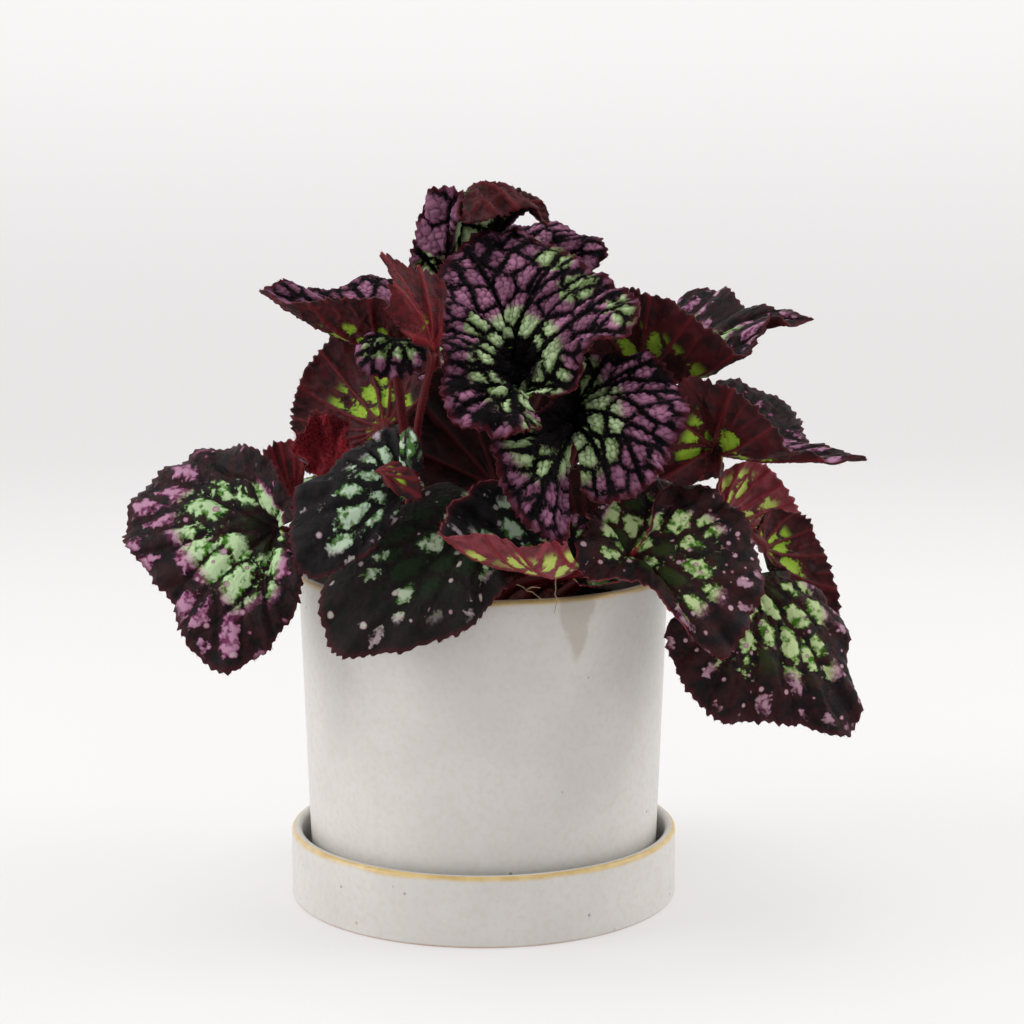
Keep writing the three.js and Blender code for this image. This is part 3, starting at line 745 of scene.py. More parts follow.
# stems
stemRule = dict(
    radius={"rosette": 2.3, "mature": 2.1, "young": 1.5},
    rise=0.4, reach=0.3,  # share of its length in which it leaves the rhizome and meets the blade
    sunk=1.5, topGap=0.9,  # foot inside the rhizome, top below the blade's heart
    swell=((0, 0.06, 0.3, 0.92, 1), (1.3, 1.08, 1.0, 0.88, 1.0)),  # how thick it is at shares of its length
    sides=14, rings=44, hairsPerMm=4.6, hairLength=1.5, hairRadius=0.08,
)
rhizomeSize = dict(
    centreY=-6, radiusX=34, radiusY=28, height=11, base=112.35, rings=46, segments=150, hairs=1400, quickHairs=300,
    hairRadius=0.12,
)


def stemFinish():
    finish = newFinish("stem_skin")
    along, around, chance = carried("along"), carried("around"), carried("chance")

    def streaks(lengthwise, across, scale, detail):
        where = put("ShaderNodeCombineXYZ", {0: along * lengthwise, 1: around * across, 2: chance})[0]
        return grain(where, scale, detail)

    streak = streaks(0.06, 5.5, 1.6, 3)
    colour = tint(between(streak, 0.3, 0.7), paint(48, 7, 12), paint(104, 18, 26))
    colour = tint(between(streaks(0.35, 3.0, 2.2, 2), 0.63, 0.7) * 0.4, colour, paint(146, 66, 60))
    colour = tint(between(along, 2, 14, 0.6, 0.0), colour, paint(70, 40, 30))
    finishWith(colour, 0.5, streak, 0.3, 0.0004, Specular_IOR_Level=0.2)
    return finish


stemSkin = stemFinish()


def growStem(name, leaf, kind):
    rule, z = stemRule, rhizomeSize
    rng = np.random.default_rng(leaf["seed"] + 500)
    radius = rule["radius"][kind]
    angle, share = math.radians(leaf["foot"][0]), leaf["foot"][1]
    across = np.array([math.cos(angle), math.sin(angle), 0])
    leaves = unit(across * share + np.array([0, 0, 1]))
    foot = np.array([z["radiusX"] * share * across[0], z["centreY"] + z["radiusY"] * share * across[1],
                     z["base"] + z["height"] * math.sqrt(max(0, 1 - share * share))]) - leaves * rule["sunk"]
    centre, _, ends, up = bladeFrame(leaf)
    arrives = leaf.get("arrives", unit((ends - centre).sum(0)) + up)
    arrives = unit(np.array(arrives, float))
    top = centre - up * rule["topGap"]
    span = np.linalg.norm(top - foot)
    low, high = foot + leaves * span * leaf.get("rise", rule["rise"]), top - arrives * span * rule["reach"]
    rings, sides = rule["rings"], rule["sides"]
    s = np.linspace(0, 1, rings)[:, None]
    line = (1 - s) ** 3 * foot + 3 * s * (1 - s) ** 2 * low + 3 * s**2 * (1 - s) * high + s**3 * top
    way = unit(np.gradient(line, axis=0))
    side = np.zeros_like(line)
    side[0] = unit(np.cross(way[0], [0.3, 0.9, 0.1]))
    for k in range(1, rings):  # carried along without twist
        side[k] = unit(side[k - 1] - way[k] * (side[k - 1] @ way[k]))
    other = np.cross(way, side)
    run, turn = runAlong(line), turnsOf(sides)
    shape = np.interp(s[:, 0], *rule["swell"])[:, None]
    skin = np.stack(np.meshgrid(run / 9, turn * 1.2, indexing="ij"), -1).reshape(-1, 2)
    rough = softNoise(skin + leaf["seed"], 1, 5)
    thick = radius * shape * (0.93 + 0.05 * np.cos(4 * turn) + 0.14 * (rough.reshape(rings, sides) - 0.5))
    points = np.vstack([tubeAround(line, side, other, thick[..., None], turn), line[0], line[-1]])
    n = int(run[-1] * rule["hairsPerMm"] * leaf.get("stemWool", 1) * hairShare)
    along, spin = rng.random(n) ** 0.9 * (rings - 1), rng.random(n) * 2 * math.pi
    k = np.minimum(along.astype(int), rings - 2)
    outWay = np.cos(spin)[:, None] * side[k] + np.sin(spin)[:, None] * other[k]
    base = line[k] + (line[k + 1] - line[k]) * (along - k)[:, None] + outWay * radius * 0.86 * shape[k]
    hairWay = unit(outWay + 0.5 * rng.normal(size=(n, 3)))
    hairSize = rule["hairLength"] * rng.uniform(0.4, 1.4, n)
    hairPoints, hairFaces = spikes(base, hairWay, hairSize, rule["hairRadius"], rng)
    none = np.zeros(len(hairPoints))
    marks = {"along": np.concatenate([np.repeat(run, sides), [0, run[-1]], none]),
             "around": np.concatenate([np.tile(np.minimum(turn, 2 * math.pi - turn), rings), [0, 0], none]),
             "chance": np.full(len(points) + len(none), leaf["seed"] * 3.7)}
    faces = net(rings, sides, rings * sides, rings * sides + 1) + [hairFaces + len(points)]
    piece = addMesh(name, np.vstack([points, hairPoints]), faces, [0, 0, 0, 1], [stemSkin, redHair], marks)
    place(piece, "stem", name)


def growPair(name, kind, leaf):
    growLeaf(name + "_leaf", leaf, "leaf_" + kind)
    growStem(name + "_stem", leaf, kind)


# the leaves. heart: where the veins start; margin: where they end, how far each arches, a pull on its middle;
# foot: the stem's place on the rhizome in degrees and share of its radius; arrives: its way at the heart;
# pale: x, y, z and size of light places; ring: x, z and radius of the light ring as seen from the front;
# wool: number of hairs on the underside
growPair("crown", "rosette", dict(
    heart=[12, -42, 187], foot=[-62, 0.3], seed=3, upper="rosette", ring=[12, 210, 34],
    pale=[[26, -38, 249, 8.5], [34, -50, 237, 8], [45, -72, 233, 6], [50, -80, 228, 6], [-3, -54, 222, 4.5],
          [17, -91, 190.5, 4.5]],
    rule=dict(ribs=11, cellNear=12, spacing=0.72),
    margin=[
        [24, -80, 199, 5], [32, -81, 206, 6], [36, -83, 215, 7], [43, -86, 221, 8], [53, -83, 225, 9],
        [54, -75, 232, 10], [47, -56, 238, 11], [36, -38, 245, 13], [24, -26, 252, 15], [11, -18, 257, 16],
        [-4, -20, 254, 15], [-15, -32, 244, 13], [-18, -46, 234, 12], [-16, -58, 224, 12], [-14, -70, 212, 12],
        [-14, -80, 200, 12], [-9, -88, 191, 13], [1, -92, 189, 14], [11, -94, 188, 13], [20, -90, 191, 8],
    ],
))

growPair("rosette", "rosette", dict(
    heart=[31, -48, 186], foot=[-30, 0.45], seed=7, upper="rosette", ring=[28, 191, 40],
    rule=dict(ribs=11, pillow=2.6, cellNear=12, spacing=0.72),
    margin=[
        [33, -98, 168, 4], [44, -98, 165, 9], [54, -94, 168, 12], [62, -88, 176, 13], [68, -82, 186, 13],
        [71, -76, 196, 11], [68, -66, 204, 9], [59, -56, 212, 6], [47, -48, 212, 4], [34, -48, 213.5, 3],
        [23, -66, 196, 5], [12, -78, 188, 7], [3, -84, 183, 9], [5, -90, 175, 12], [8, -96, 165, 13],
        [14, -102, 158, 12], [22, -106, 154, 9], [27, -106, 153, 6], [30, -102, 159, 3],
    ],
))

growPair("hooked", "rosette", dict(
    heart=[-12, -2, 225], foot=[75, 0.15], seed=11, upper="rosette",
    pale=[[-23, -15, 236, 8], [-20, -18, 242, 6]],
    rule=dict(ribs=5, pillow=2.6, cellNear=10, cellFar=7.5),
    margin=[
        [-2, 8, 241, 2], [2, 6, 258, 4], [6, 2, 272, 6], [14, -4, 271, 3, 0, 0, 4], [22, -10, 267, 2, 0, 0, 20],
        [24, -18, 259, 0, -6, 0, 50], [18, -24, 264, 0, -14, -4, 50], [9, -28, 263, 0, -10, -6, 50],
        [0, -32, 259, 0, -6, -6, 48], [-7, -32, 259, 0, -4, -8, 30], [-9, -26, 270, 4], [-19, -20, 271, 6],
        [-24, -18, 258, 8], [-27, -18, 242, 6], [-21, -14, 233, 3],
    ],
))

growPair("shoulder", "rosette", dict(
    heart=[13, 16, 236], foot=[40, 0.3], arrives=[0, 0.3, 1], seed=13, upper="rosette",
    rule=dict(ribs=6),
    margin=[
        [42, 6, 241, 4], [48, 4, 249, 6], [42, 12, 254, 8], [32, 20, 258, 10], [19, 28, 258, 10], [6, 30, 256, 8],
        [0, 20, 247, 5],
    ],
))

growPair("left_wing", "mature", dict(
    heart=[-32, -40, 212], foot=[205, 0.45], seed=17, upper="rosette", pale=[[-34, -38, 233, 6]],
    rule=dict(ribs=9, pillow=1.7),
    margin=[
        [-27, -4, 232, 2], [-36, -8, 240, 3], [-47, -12, 238, 3], [-61, -18, 234, 2], [-73, -36, 238, 0],
        [-79, -48, 235, -3], [-64, -62, 231, -4], [-46, -66, 233, -5], [-35, -66, 231, -5], [-27, -62, 221, -3],
        [-18, -64, 216, -1], [-18, -68, 209, 1], [-27, -74, 207, 2], [-38, -78, 209, 2],
    ],
))

growPair("twisted", "young", dict(
    heart=[-18, -77, 214], foot=[-140, 0.55], arrives=[0.25, -0.2, 1], seed=19, upper="maroon", under="woolly",
    wool=900, rule=dict(ribs=5, tooth=2.0, pillow=0.9),
    margin=[
        [-22, -84, 217, -2], [-31, -92, 228, -3], [-31, -88, 241, -3], [-34, -82, 249, -2], [-28, -76, 244, -2],
        [-16, -70, 241, -2], [-15, -72, 222, -2],
    ],
))

growPair("upright", "mature", dict(
    heart=[-37, -14, 182], foot=[178, 0.6], seed=23, upper="maroon", wool=900, woolLength=1.2,
    margin=[
        [-56, -14, 172, 2], [-72, 0, 178, 4], [-73, 8, 191, 6], [-69, 14, 203, 7], [-55, 18, 217, 8],
        [-40, 16, 219, 8], [-27, 8, 211, 6], [-22, -6, 193, 3],
    ],
))

growPair("middle", "mature", dict(
    heart=[6, -2, 158], foot=[70, 0.55], seed=29, upper="black", under="dark",
    margin=[
        [-17, -4, 154, 2], [-27, -3, 165, 2], [-29, -1, 188, 3], [-17, 2, 204, 3], [-2, 1, 208, 3],
        [16, -1, 209, 3], [34, -3, 203, 3], [41, -4, 188, 2], [38, -4, 172, 2], [24, -5, 152, 2],
    ],
))

growPair("woolly", "young", dict(
    heart=[-55, -50, 168], foot=[212, 0.75], seed=31, upper="maroon", under="woolly", wool=7000, woolLength=3.0,
    woolRadius=0.17, stemWool=2.2,
    rule=dict(ribs=6, pillow=1.6, ruffle=2.2, ruffleWave=13, tooth=2.0, hairs=3.0, hairLength=2.2),
    margin=[
        [-65, -48, 170, 2], [-68, -44, 181, 3], [-59, -40, 191, 3], [-50, -44, 186, 3], [-49, -50, 174, 2],
    ],
))

growPair("red_bud", "young", dict(
    heart=[-70, -36, 155], foot=[176, 0.9], seed=37, upper="maroon", under="woolly", wool=500,
    rule=dict(ribs=5, pillow=0.8),
    margin=[
        [-79, -30, 165, 1], [-82, -26, 173, 2], [-76, -22, 178, 3], [-69, -22, 178, 2], [-67, -30, 167, 1],
    ],
))
print("crown and left leaves grown")

growPair("left", "mature", dict(
    heart=[-75, -40, 148], foot=[206, 0.9], seed=41, upper="blister",
    rule=dict(pillow=2.4, cellNear=10.5, cellFar=8, cellStretch=2.0, ribs=8),
    margin=[
        [-66, -57, 153.5, 2], [-81, -34, 175, 4], [-105, -16, 174, 5], [-125, -18, 163, 6], [-133, -34, 146, 6],
        [-117, -50, 127, 6], [-97, -62, 99, 7], [-79, -62, 106, 6], [-65, -60, 129, 4], [-66, -55, 147.5, 2],
    ],
))

growPair("striped", "mature", dict(
    heart=[-25, -72, 167], foot=[226, 0.7], rise=0.7, arrives=[-0.2, -0.95, -0.15], seed=43, upper="black",
    margin=[
        [-23, -74, 177, 2], [-35, -60, 187, 4], [-50, -68, 176, 5], [-64, -76, 167, 5], [-67, -84, 152, 5],
        [-61, -88, 138, 5], [-45, -88, 143, 4], [-30, -82, 156, 2],
    ],
))

growPair("front", "mature", dict(
    heart=[2, -66, 153], foot=[250, 0.8], seed=47, upper="green",
    rule=dict(pillow=0.8, ribs=7),
    margin=[
        [1, -56, 163, 2], [-16, -52, 164, 4], [-35, -58, 156, 6], [-55, -72, 136, 7], [-53, -84, 111, 7],
        [-28, -88, 112, 8], [-6, -90, 120, 7], [8, -84, 134, 4],
    ],
))

growPair("boat", "mature", dict(
    heart=[35, -74, 143], foot=[-78, 0.85], seed=53, upper="black", under="pink",
    margin=[
        [27, -70, 160, -2], [10, -74, 170, -4], [-5, -82, 167, -6], [-12, -94, 160, -7], [-14, -104, 156, -8],
        [1, -112, 155, -9], [14, -113, 152, -8], [28, -104, 152, -5],
    ],
))

growPair("right", "mature", dict(
    heart=[51, -76, 143], foot=[-55, 0.85], seed=59, upper="lime", under="pink",
    rule=dict(ribs=11, pillow=1.4),
    margin=[
        [57, -66, 149, 1], [64, -58, 160, 2], [61, -54, 169, 2], [49, -58, 168, 2], [40, -64, 160, 2],
        [36, -78, 153, 3], [32, -90, 147, 3], [36, -93, 138, 3], [53, -92, 137, 3], [68, -98, 123, 4],
        [81, -102, 111, 5], [92, -94, 124, 5], [97, -84, 137, 5], [91, -72, 157, 5], [74, -68, 168, 4],
        [61, -72, 164, 3], [58, -77, 152, 1],
    ],
))

growPair("low_right", "mature", dict(
    heart=[97, -50, 132], foot=[-28, 0.9], seed=61, upper="lime",
    rule=dict(pillow=1.5, hairs=1.6),
    margin=[
        [81, -58, 128, 3], [66, -62, 115, 5], [72, -66, 94, 6], [85, -68, 82, 7], [107, -68, 81, 6],
        [134, -64, 77, 5], [133, -54, 99, 5], [130, -46, 117, 4], [112, -44, 132, 2],
    ],
))

growPair("right_shoulder", "mature", dict(
    heart=[102, -40, 140], foot=[-8, 0.9], seed=67, upper="lime",
    margin=[
        [98, -40, 147, 1], [105, -34, 152, 2], [119, -26, 151, 4], [129, -26, 133, 5], [133, -32, 115, 5],
        [119, -40, 124, 4], [107, -44, 134, 1],
    ],
))

growPair("pink", "mature", dict(
    heart=[88, -34, 148], foot=[8, 0.75], seed=71, upper="lime", under="pink",
    margin=[
        [86, -30, 154, 1], [88, -24, 163, 3], [98, -16, 171, 4], [108, -10, 167, 5], [115, -8, 159, 5],
        [121, -12, 148, 4], [108, -26, 144, 2],
    ],
))

growPair("right_wing", "mature", dict(
    heart=[84, -46, 177], foot=[-12, 0.6], seed=73, upper="maroon", wool=700, woolLength=1.0,
    margin=[
        [87, -56, 170, -2], [77, -66, 168, -3], [66, -72, 168, -4], [58, -72, 174, -4], [61, -70, 190, -5],
        [71, -66, 205, -5], [80, -68, 203, -6], [90, -72, 200, -6], [98, -76, 192, -6], [107, -78, 182, -4],
        [115, -76, 178, -2], [134, -72, 177, -1], [118, -42, 181, -1], [116, -22, 190, -1], [100, -12, 198, -1],
        [88, -10, 200, -1],
    ],
))

growPair("upper_right", "mature", dict(
    heart=[60, -26, 201], foot=[10, 0.4], seed=79, upper="maroon",
    pale=[[84, -50, 225, 7]],
    margin=[
        [40, -32, 204, -1], [39, -38, 217, -2], [46, -44, 231, -3], [53, -48, 235, -3], [64, -56, 232, -4],
        [74, -60, 227, -5], [82, -62, 219, -5], [91, -62, 213, -4], [100, -58, 219, -2], [102, -54, 225, 1],
        [118, -46, 223, 3, 0, 0, 8], [108, -40, 229, 3], [98, -30, 228, 2], [89, -10, 235, 2], [76, -2, 230, 2],
        [68, 4, 218, 1],
    ],
))
print("right leaves grown")

# far side: the plain lopsided heart of the species, as shares of its length
plainShape = dict(
    outline=[[-0.1, -0.07], [-0.3, -0.22], [-0.2, -0.47], [0.15, -0.52], [0.55, -0.36], [1, 0],
             [0.6, 0.42], [0.15, 0.6], [-0.28, 0.5], [-0.38, 0.2], [-0.1, 0.07]],
    sideDroop=0.3,
)


def plainLeaf(heart, heading, length, slope, droop, **more):
    turn, bend = math.radians(heading), math.radians(droop)
    margin = []
    for along, across in plainShape["outline"]:
        tangent = math.radians(slope) - bend * abs(along) / 2
        forward, side = along * length * math.cos(tangent), across * length
        drop = plainShape["sideDroop"] * length * across * across
        margin.append([heart[0] + forward * math.cos(turn) - side * math.sin(turn),
                       heart[1] + forward * math.sin(turn) + side * math.cos(turn),
                       heart[2] + along * length * math.sin(tangent) - drop,
                       length * (along * along * bend / 8 + across * across * plainShape["sideDroop"] / 4)])
    return dict(heart=heart, margin=margin, calm=True, **more)


farLeaves = dict(
    left_side=plainLeaf([-48, 10, 162], 163, 56, 10, 90, foot=[158, 0.7], rise=0.5, seed=83, upper="maroon"),
    rear_left=plainLeaf([-33, 42, 141], 124, 66, 15, 95, foot=[140, 0.9], seed=89, upper="black"),
    rear=plainLeaf([-2, 46, 154], 96, 70, 20, 110, foot=[100, 0.9], seed=97, upper="lime"),
    rear_right=plainLeaf([38, 38, 141], 52, 68, 15, 95, foot=[60, 0.9], seed=101, upper="green"),
    right_side=plainLeaf([52, 12, 162], 18, 56, 10, 90, foot=[22, 0.65], rise=0.5, seed=103, upper="lime"),
    rear_high_left=plainLeaf([-32, 32, 184], 142, 58, 25, 105, foot=[150, 0.45], seed=107, upper="maroon"),
    rear_high_right=plainLeaf([38, 30, 188], 46, 62, 25, 105, foot=[50, 0.5], seed=109, upper="maroon"),
    rear_top=plainLeaf([0, 44, 206], 96, 58, 35, 105, foot=[95, 0.5], seed=113, upper="rosette"),
)


# small curled pieces that sit on or between the large leaves
def curl(seed, upper, under, heart, margin, **more):
    rule = dict(ribs=5, pillow=0.9, ruffle=0.6, **more.pop("rule", {}))
    return dict(heart=heart, margin=margin, seed=seed, upper=upper, under=under, scrap=True, rule=rule, **more)


scraps = dict(
    striped_flap=curl(131, "black", "maroon", [-37, -83, 174], [
        [-31, -86, 178, -1], [-25, -88, 175, -2], [-21.5, -90, 169, -2], [-22, -91, 165, -2],
        [-28, -90, 166, -2], [-34, -88, 170, -1]]),
    striped_roll=curl(137, "black", "maroon", [-25, -76, 172], [
        [-21, -79, 174, 1], [-21, -81, 181, 2], [-24, -80, 188, 2], [-28, -76, 187, 2], [-29, -74, 180, 2],
        [-28, -73, 174, 1]], pale=[[-24, -79, 184, 6]]),
    wing_roll=curl(139, "rosette", "maroon", [-30, -72, 219], [
        [-39, -73, 221, 1], [-44, -76, 215, 3], [-42, -80, 209, 3], [-33, -81, 206, 3], [-25, -80, 207, 3],
        [-20, -78, 212, 2], [-22, -74, 218, 1]], pale=[[-27, -77, 217, 6], [-37, -78, 216, 5]],
        rule=dict(cellNear=6)),
    rim_scrap=curl(149, "green", "pink", [30, -54, 132], [
        [34, -62, 131, 1], [45, -64, 131, 2], [54, -58, 133, 2], [56, -48, 138, 2], [46, -42, 139, 1],
        [35, -46, 136, 1]], pale=[[45, -62, 132, 9]]),
    purple_scrap=curl(151, "maroon", "maroon", [31, -67, 146], [
        [38, -69, 146, 1], [43, -71, 151, 2], [38, -71, 156, 2], [30, -69, 157, 2], [26, -67, 151, 1]]),
    red_scrap=curl(157, "maroon", "dark", [38, -52, 130], [
        [29, -55, 150, 1], [26, -58, 163, 1], [32, -59, 172, 1], [40, -58, 172, 1], [45, -56, 163, 1],
        [43, -53, 148, 1]], wool=400),
)
for scrapName, scrap in scraps.items():
    growLeaf(scrapName, scrap, "leaf_mature")

for farName, farLeaf in farLeaves.items():
    growPair(farName, "mature", farLeaf)
print("far leaves grown")

# pot and saucer
potSize = dict(
    footRadius=66.9, rimRadius=71.2, standsAt=5.3, rimHeight=126.2, wall=4.4, floor=6, drain=7,
    footRound=2.5, lipRound=1.9, floorRound=3, flatTo=60, segments=288, wobble=0.22,
)
saucerSize = dict(
    outer=75, inner=70.9, height=26.6, floor=5, lipRound=1.8, footRound=1.2, floorRound=3, flatFrom=4,
    segments=288, wobble=0.28,
)


def arc(centreR, centreZ, radius, start, stop, steps=6):
    turns = np.radians(np.linspace(start, stop, steps))
    return [(centreR + radius * math.cos(a), centreZ + radius * math.sin(a)) for a in turns]


def stretchOf(start, stop, steps):
    start, stop = np.array(start, float), np.array(stop, float)
    return [tuple(start + (stop - start) * k / steps) for k in range(1, steps)]


def turnOnWheel(name, profile, segments, wobble, seed, finish):
    # profile is (radius, height) from the middle of the underside outwards and round to the inside
    line = np.array(profile, float)
    turn = turnsOf(segments)
    ringWay = np.stack([np.cos(turn), np.sin(turn)], 1)
    slow = softNoise(ringWay * 1.3 + 20, 1, seed) - 0.5
    mesh = []
    for r, z in line:
        quiver = softNoise(np.column_stack([ringWay * 3.1 + 40, np.full(segments, z / 18)]), 1, seed + 1) - 0.5
        radius = r + (wobble * slow + 0.5 * wobble * quiver) * min(1, r / 30)
        lift = 1.6 * wobble * slow * easeBetween(0.3, 1, z / line[:, 1].max())
        mesh.append(np.column_stack([ringWay * radius[:, None], z + lift]))
    count = len(line)
    if line[0, 0] > 1:  # a ring: the last row joins the first
        faces = net(count, segments, wrap=True)
    else:
        faces = net(count, segments, count * segments, count * segments + 1)
        mesh += [[[0, 0, line[0, 1]]], [[0, 0, line[-1, 1]]]]
    return addMesh(name, np.vstack(mesh), faces, [0] * len(faces), [finish])


glazeTones = dict(
    body=(paint(199, 196, 191), paint(205, 202, 197)), honey=(paint(176, 136, 62), paint(226, 205, 150)),
    # lip: the band just inside the pot's rim, partly browner inner glaze, partly painted shade
    lip=paint(92, 58, 44), clay=paint(176, 128, 84), stain=paint(150, 138, 118), mottle=paint(188, 182, 173),
    specks=((210, 0.07, paint(96, 86, 74), 0.03), (150, 0.05, paint(176, 136, 62), 0.012)),  # scale, size, tone, share
)


def glazeFinish(name, rimHeight, rimRadius, lipRound, lipShadeInset, stained):
    finish = newFinish(name)
    tones = glazeTones
    here = inSpace()
    x, y, z = put("ShaderNodeSeparateXYZ", {0: here})
    out = calc("SQRT", x * x + y * y)
    cloud, mottle = grain(here, 28, 4, 0.6), grain(here, 420, 3, 0.6)
    colour = tint(between(cloud, 0.35, 0.65), *tones["body"])
    colour = tint(between(mottle, 0.42, 0.7, 0.0, 0.3), colour, tones["mottle"])
    for scale, size, tone, share in tones["specks"]:
        away, dotColour = dotted(here, scale)
        luck = put("ShaderNodeSeparateColor", {0: dotColour})[0]
        dot = between(away, size, size + 0.12, 1.0, 0.0) * between(luck, share, share + 0.004, 1.0, 0.0)
        colour = tint(dot * 0.7, colour, tone)
    # the glaze runs thin and turns honey-coloured on the outer crest
    wander = (grain(here, 60, 3) - 0.5) * 0.0016
    fromTop = rimHeight * mm - z + wander
    crestStart, crestEnd = (rimRadius - lipRound * 1.1) * mm, (rimRadius - lipRound * 0.5) * mm
    crest = between(fromTop, 0.0006, 0.0025, 1.0, 0.0) * between(out, crestStart, crestEnd)
    crest = crest * between(grain(here, 90, 3), 0.25, 0.5, 0.55, 1.0) * between(x * 0.6 - y, -0.06, 0.09, 0.75, 1.15)
    colour = tint(calc("MINIMUM", crest, 1.0), colour, tint(grain(here, 160, 3), *tones["honey"]))
    # a dark reddish-brown band just inside the rim: partly the browner glaze inside, partly painted shade
    if lipShadeInset:
        low = (rimRadius - lipShadeInset) * mm
        inner = between(fromTop, 0.0002, 0.0022, 1.0, 0.0)
        inner = inner * between(out + wander, low + 0.0006, low + 0.0014, 1.0, 0.0)
        colour = tint(inner * 0.85, colour, tones["lip"])
    # bare clay where the foot was wiped
    colour = tint(between(z + wander * 0.5, 0.0002, 0.0009, 1.0, 0.0) * 0.8, colour, tones["clay"])
    if stained:  # a pale brown trickle below the rim, narrowing downwards
        middle = calc("ABSOLUTE", x - 0.0335 + (grain(here, 120, 3) - 0.5) * 0.006)
        run = between(between(z, 0.100, 0.124, 0.0012, 0.0066) - middle, -0.0006, 0.0014)
        run = run * between(z, 0.1005, 0.106) * between(y, -0.02, -0.01, 1.0, 0.0)
        colour = tint(run * 0.4, colour, tones["stain"])
    gloss = between(mottle, 0.3, 0.7, 0.34, 0.46)
    finishWith(colour, gloss, cloud * 0.6 + mottle * 0.25, 0.25, 0.0005, Specular_IOR_Level=0.45)
    return finish


def potOutAt(z):
    p = potSize
    flare = p["rimRadius"] - p["footRadius"]
    return p["footRadius"] + flare * (z - p["standsAt"]) / (p["rimHeight"] - p["standsAt"])


def throwPot():
    p = potSize
    top, low, lip, foot = p["rimHeight"], p["standsAt"], p["lipRound"], p["footRound"]
    wall, drain, flat, bend = p["wall"], p["drain"], p["flatTo"], p["floorRound"]
    inside, floor = top - lip, low + p["floor"]
    atRim, atFloor = potOutAt(inside), potOutAt(floor) - wall
    line = [(drain, low), (drain + 1.2, low)] + stretchOf((drain, low), (flat, low), 5)
    line += arc(potOutAt(low) - foot, low + foot, foot, -90, 0)
    line += stretchOf((potOutAt(low + foot), low + foot), (atRim, inside), 26)
    line += arc(atRim - lip, inside, lip, 0, 90) + arc(atRim - wall + lip, inside, lip, 90, 180)
    line += stretchOf((atRim - wall, inside), (atFloor, floor + bend), 14)
    line += arc(atFloor - bend, floor + bend, bend, 0, -90)
    line += stretchOf((flat, floor), (drain, floor), 4) + [(drain + 0.8, floor), (drain, floor - 0.8)]
    finish = glazeFinish("pot_glaze", top, p["rimRadius"], lip, wall - 1.1, True)
    place(turnOnWheel("pot_thrown", line, p["segments"], p["wobble"], 5, finish), "glaze", "pot")


def throwSaucer():
    s = saucerSize
    outer, inner, top, floor = s["outer"], s["inner"], s["height"], s["floor"]
    lip, foot, bend, start = s["lipRound"], s["footRound"], s["floorRound"], s["flatFrom"]
    line = [(0.5, 0)] + stretchOf((start, 0), (outer - foot, 0), 10) + arc(outer - foot, foot, foot, -90, 0)
    line += stretchOf((outer, foot), (outer, top - lip), 10) + arc(outer - lip, top - lip, lip, 0, 90)
    line += arc(inner + lip, top - lip, lip, 90, 180) + stretchOf((inner, top - lip), (inner, floor + bend), 6)
    line += arc(inner - bend, floor + bend, bend, 0, -90)
    line += stretchOf((inner - bend, floor), (start, floor), 8) + [(0.5, floor)]
    finish = glazeFinish("saucer_glaze", top, outer, lip, 0, False)
    place(turnOnWheel("saucer_thrown", line, s["segments"], s["wobble"], 9, finish), "glaze", "saucer")


throwPot()
throwSaucer()
print("pot and saucer thrown")

# soil and rhizome
soilSize = dict(
    bottom=11.7, top=110.6, rise=1.6, wallGap=0.25, lumps=430, lumpSize=(0.8, 2.8),
    rings=60, wallRings=8, segments=200,
)


def soilFinish():
    finish = newFinish("peat")
    here = inSpace()
    crumbs = grain(here, 700, 5, 0.7)
    colour = tint(between(crumbs, 0.35, 0.7), paint(20, 13, 10), paint(58, 42, 33))
    luck = put("ShaderNodeSeparateColor", {0: dotted(here, 420)[1]})[0]
    colour = tint(between(luck, 0.955, 0.965, 0.0, 0.7), colour, paint(118, 92, 70))
    finishWith(colour, 0.95, crumbs, 0.8, 0.001, Specular_IOR_Level=0.2)
    return finish


def crumble(middles, sizes, rng):
    # rough little clods, each a bent twenty-sided ball
    g, n = (1 + 5**0.5) / 2, len(middles)
    ball = [(-1, g, 0), (1, g, 0), (-1, -g, 0), (1, -g, 0)]
    ball = unit(np.array(ball + [(z, x, y) for x, y, z in ball] + [(y, z, x) for x, y, z in ball], float))
    sides = np.array([
        (0, 11, 5), (0, 5, 1), (0, 1, 7), (0, 7, 10), (0, 10, 11), (1, 5, 9), (5, 11, 4), (11, 10, 2), (10, 7, 6),
        (7, 1, 8), (3, 9, 4), (3, 4, 2), (3, 2, 6), (3, 6, 8), (3, 8, 9), (4, 9, 5), (2, 4, 11), (6, 2, 10),
        (8, 6, 7), (9, 8, 1)])
    bent = ball[None] * rng.uniform(0.7, 1.3, (n, 12, 1)) * rng.uniform(0.6, 1.2, (n, 1, 3)) * sizes[:, None, None]
    points = (bent + middles[:, None]).reshape(-1, 3)
    return points, (sides[None] + 12 * np.arange(n)[:, None, None]).reshape(-1, 3)


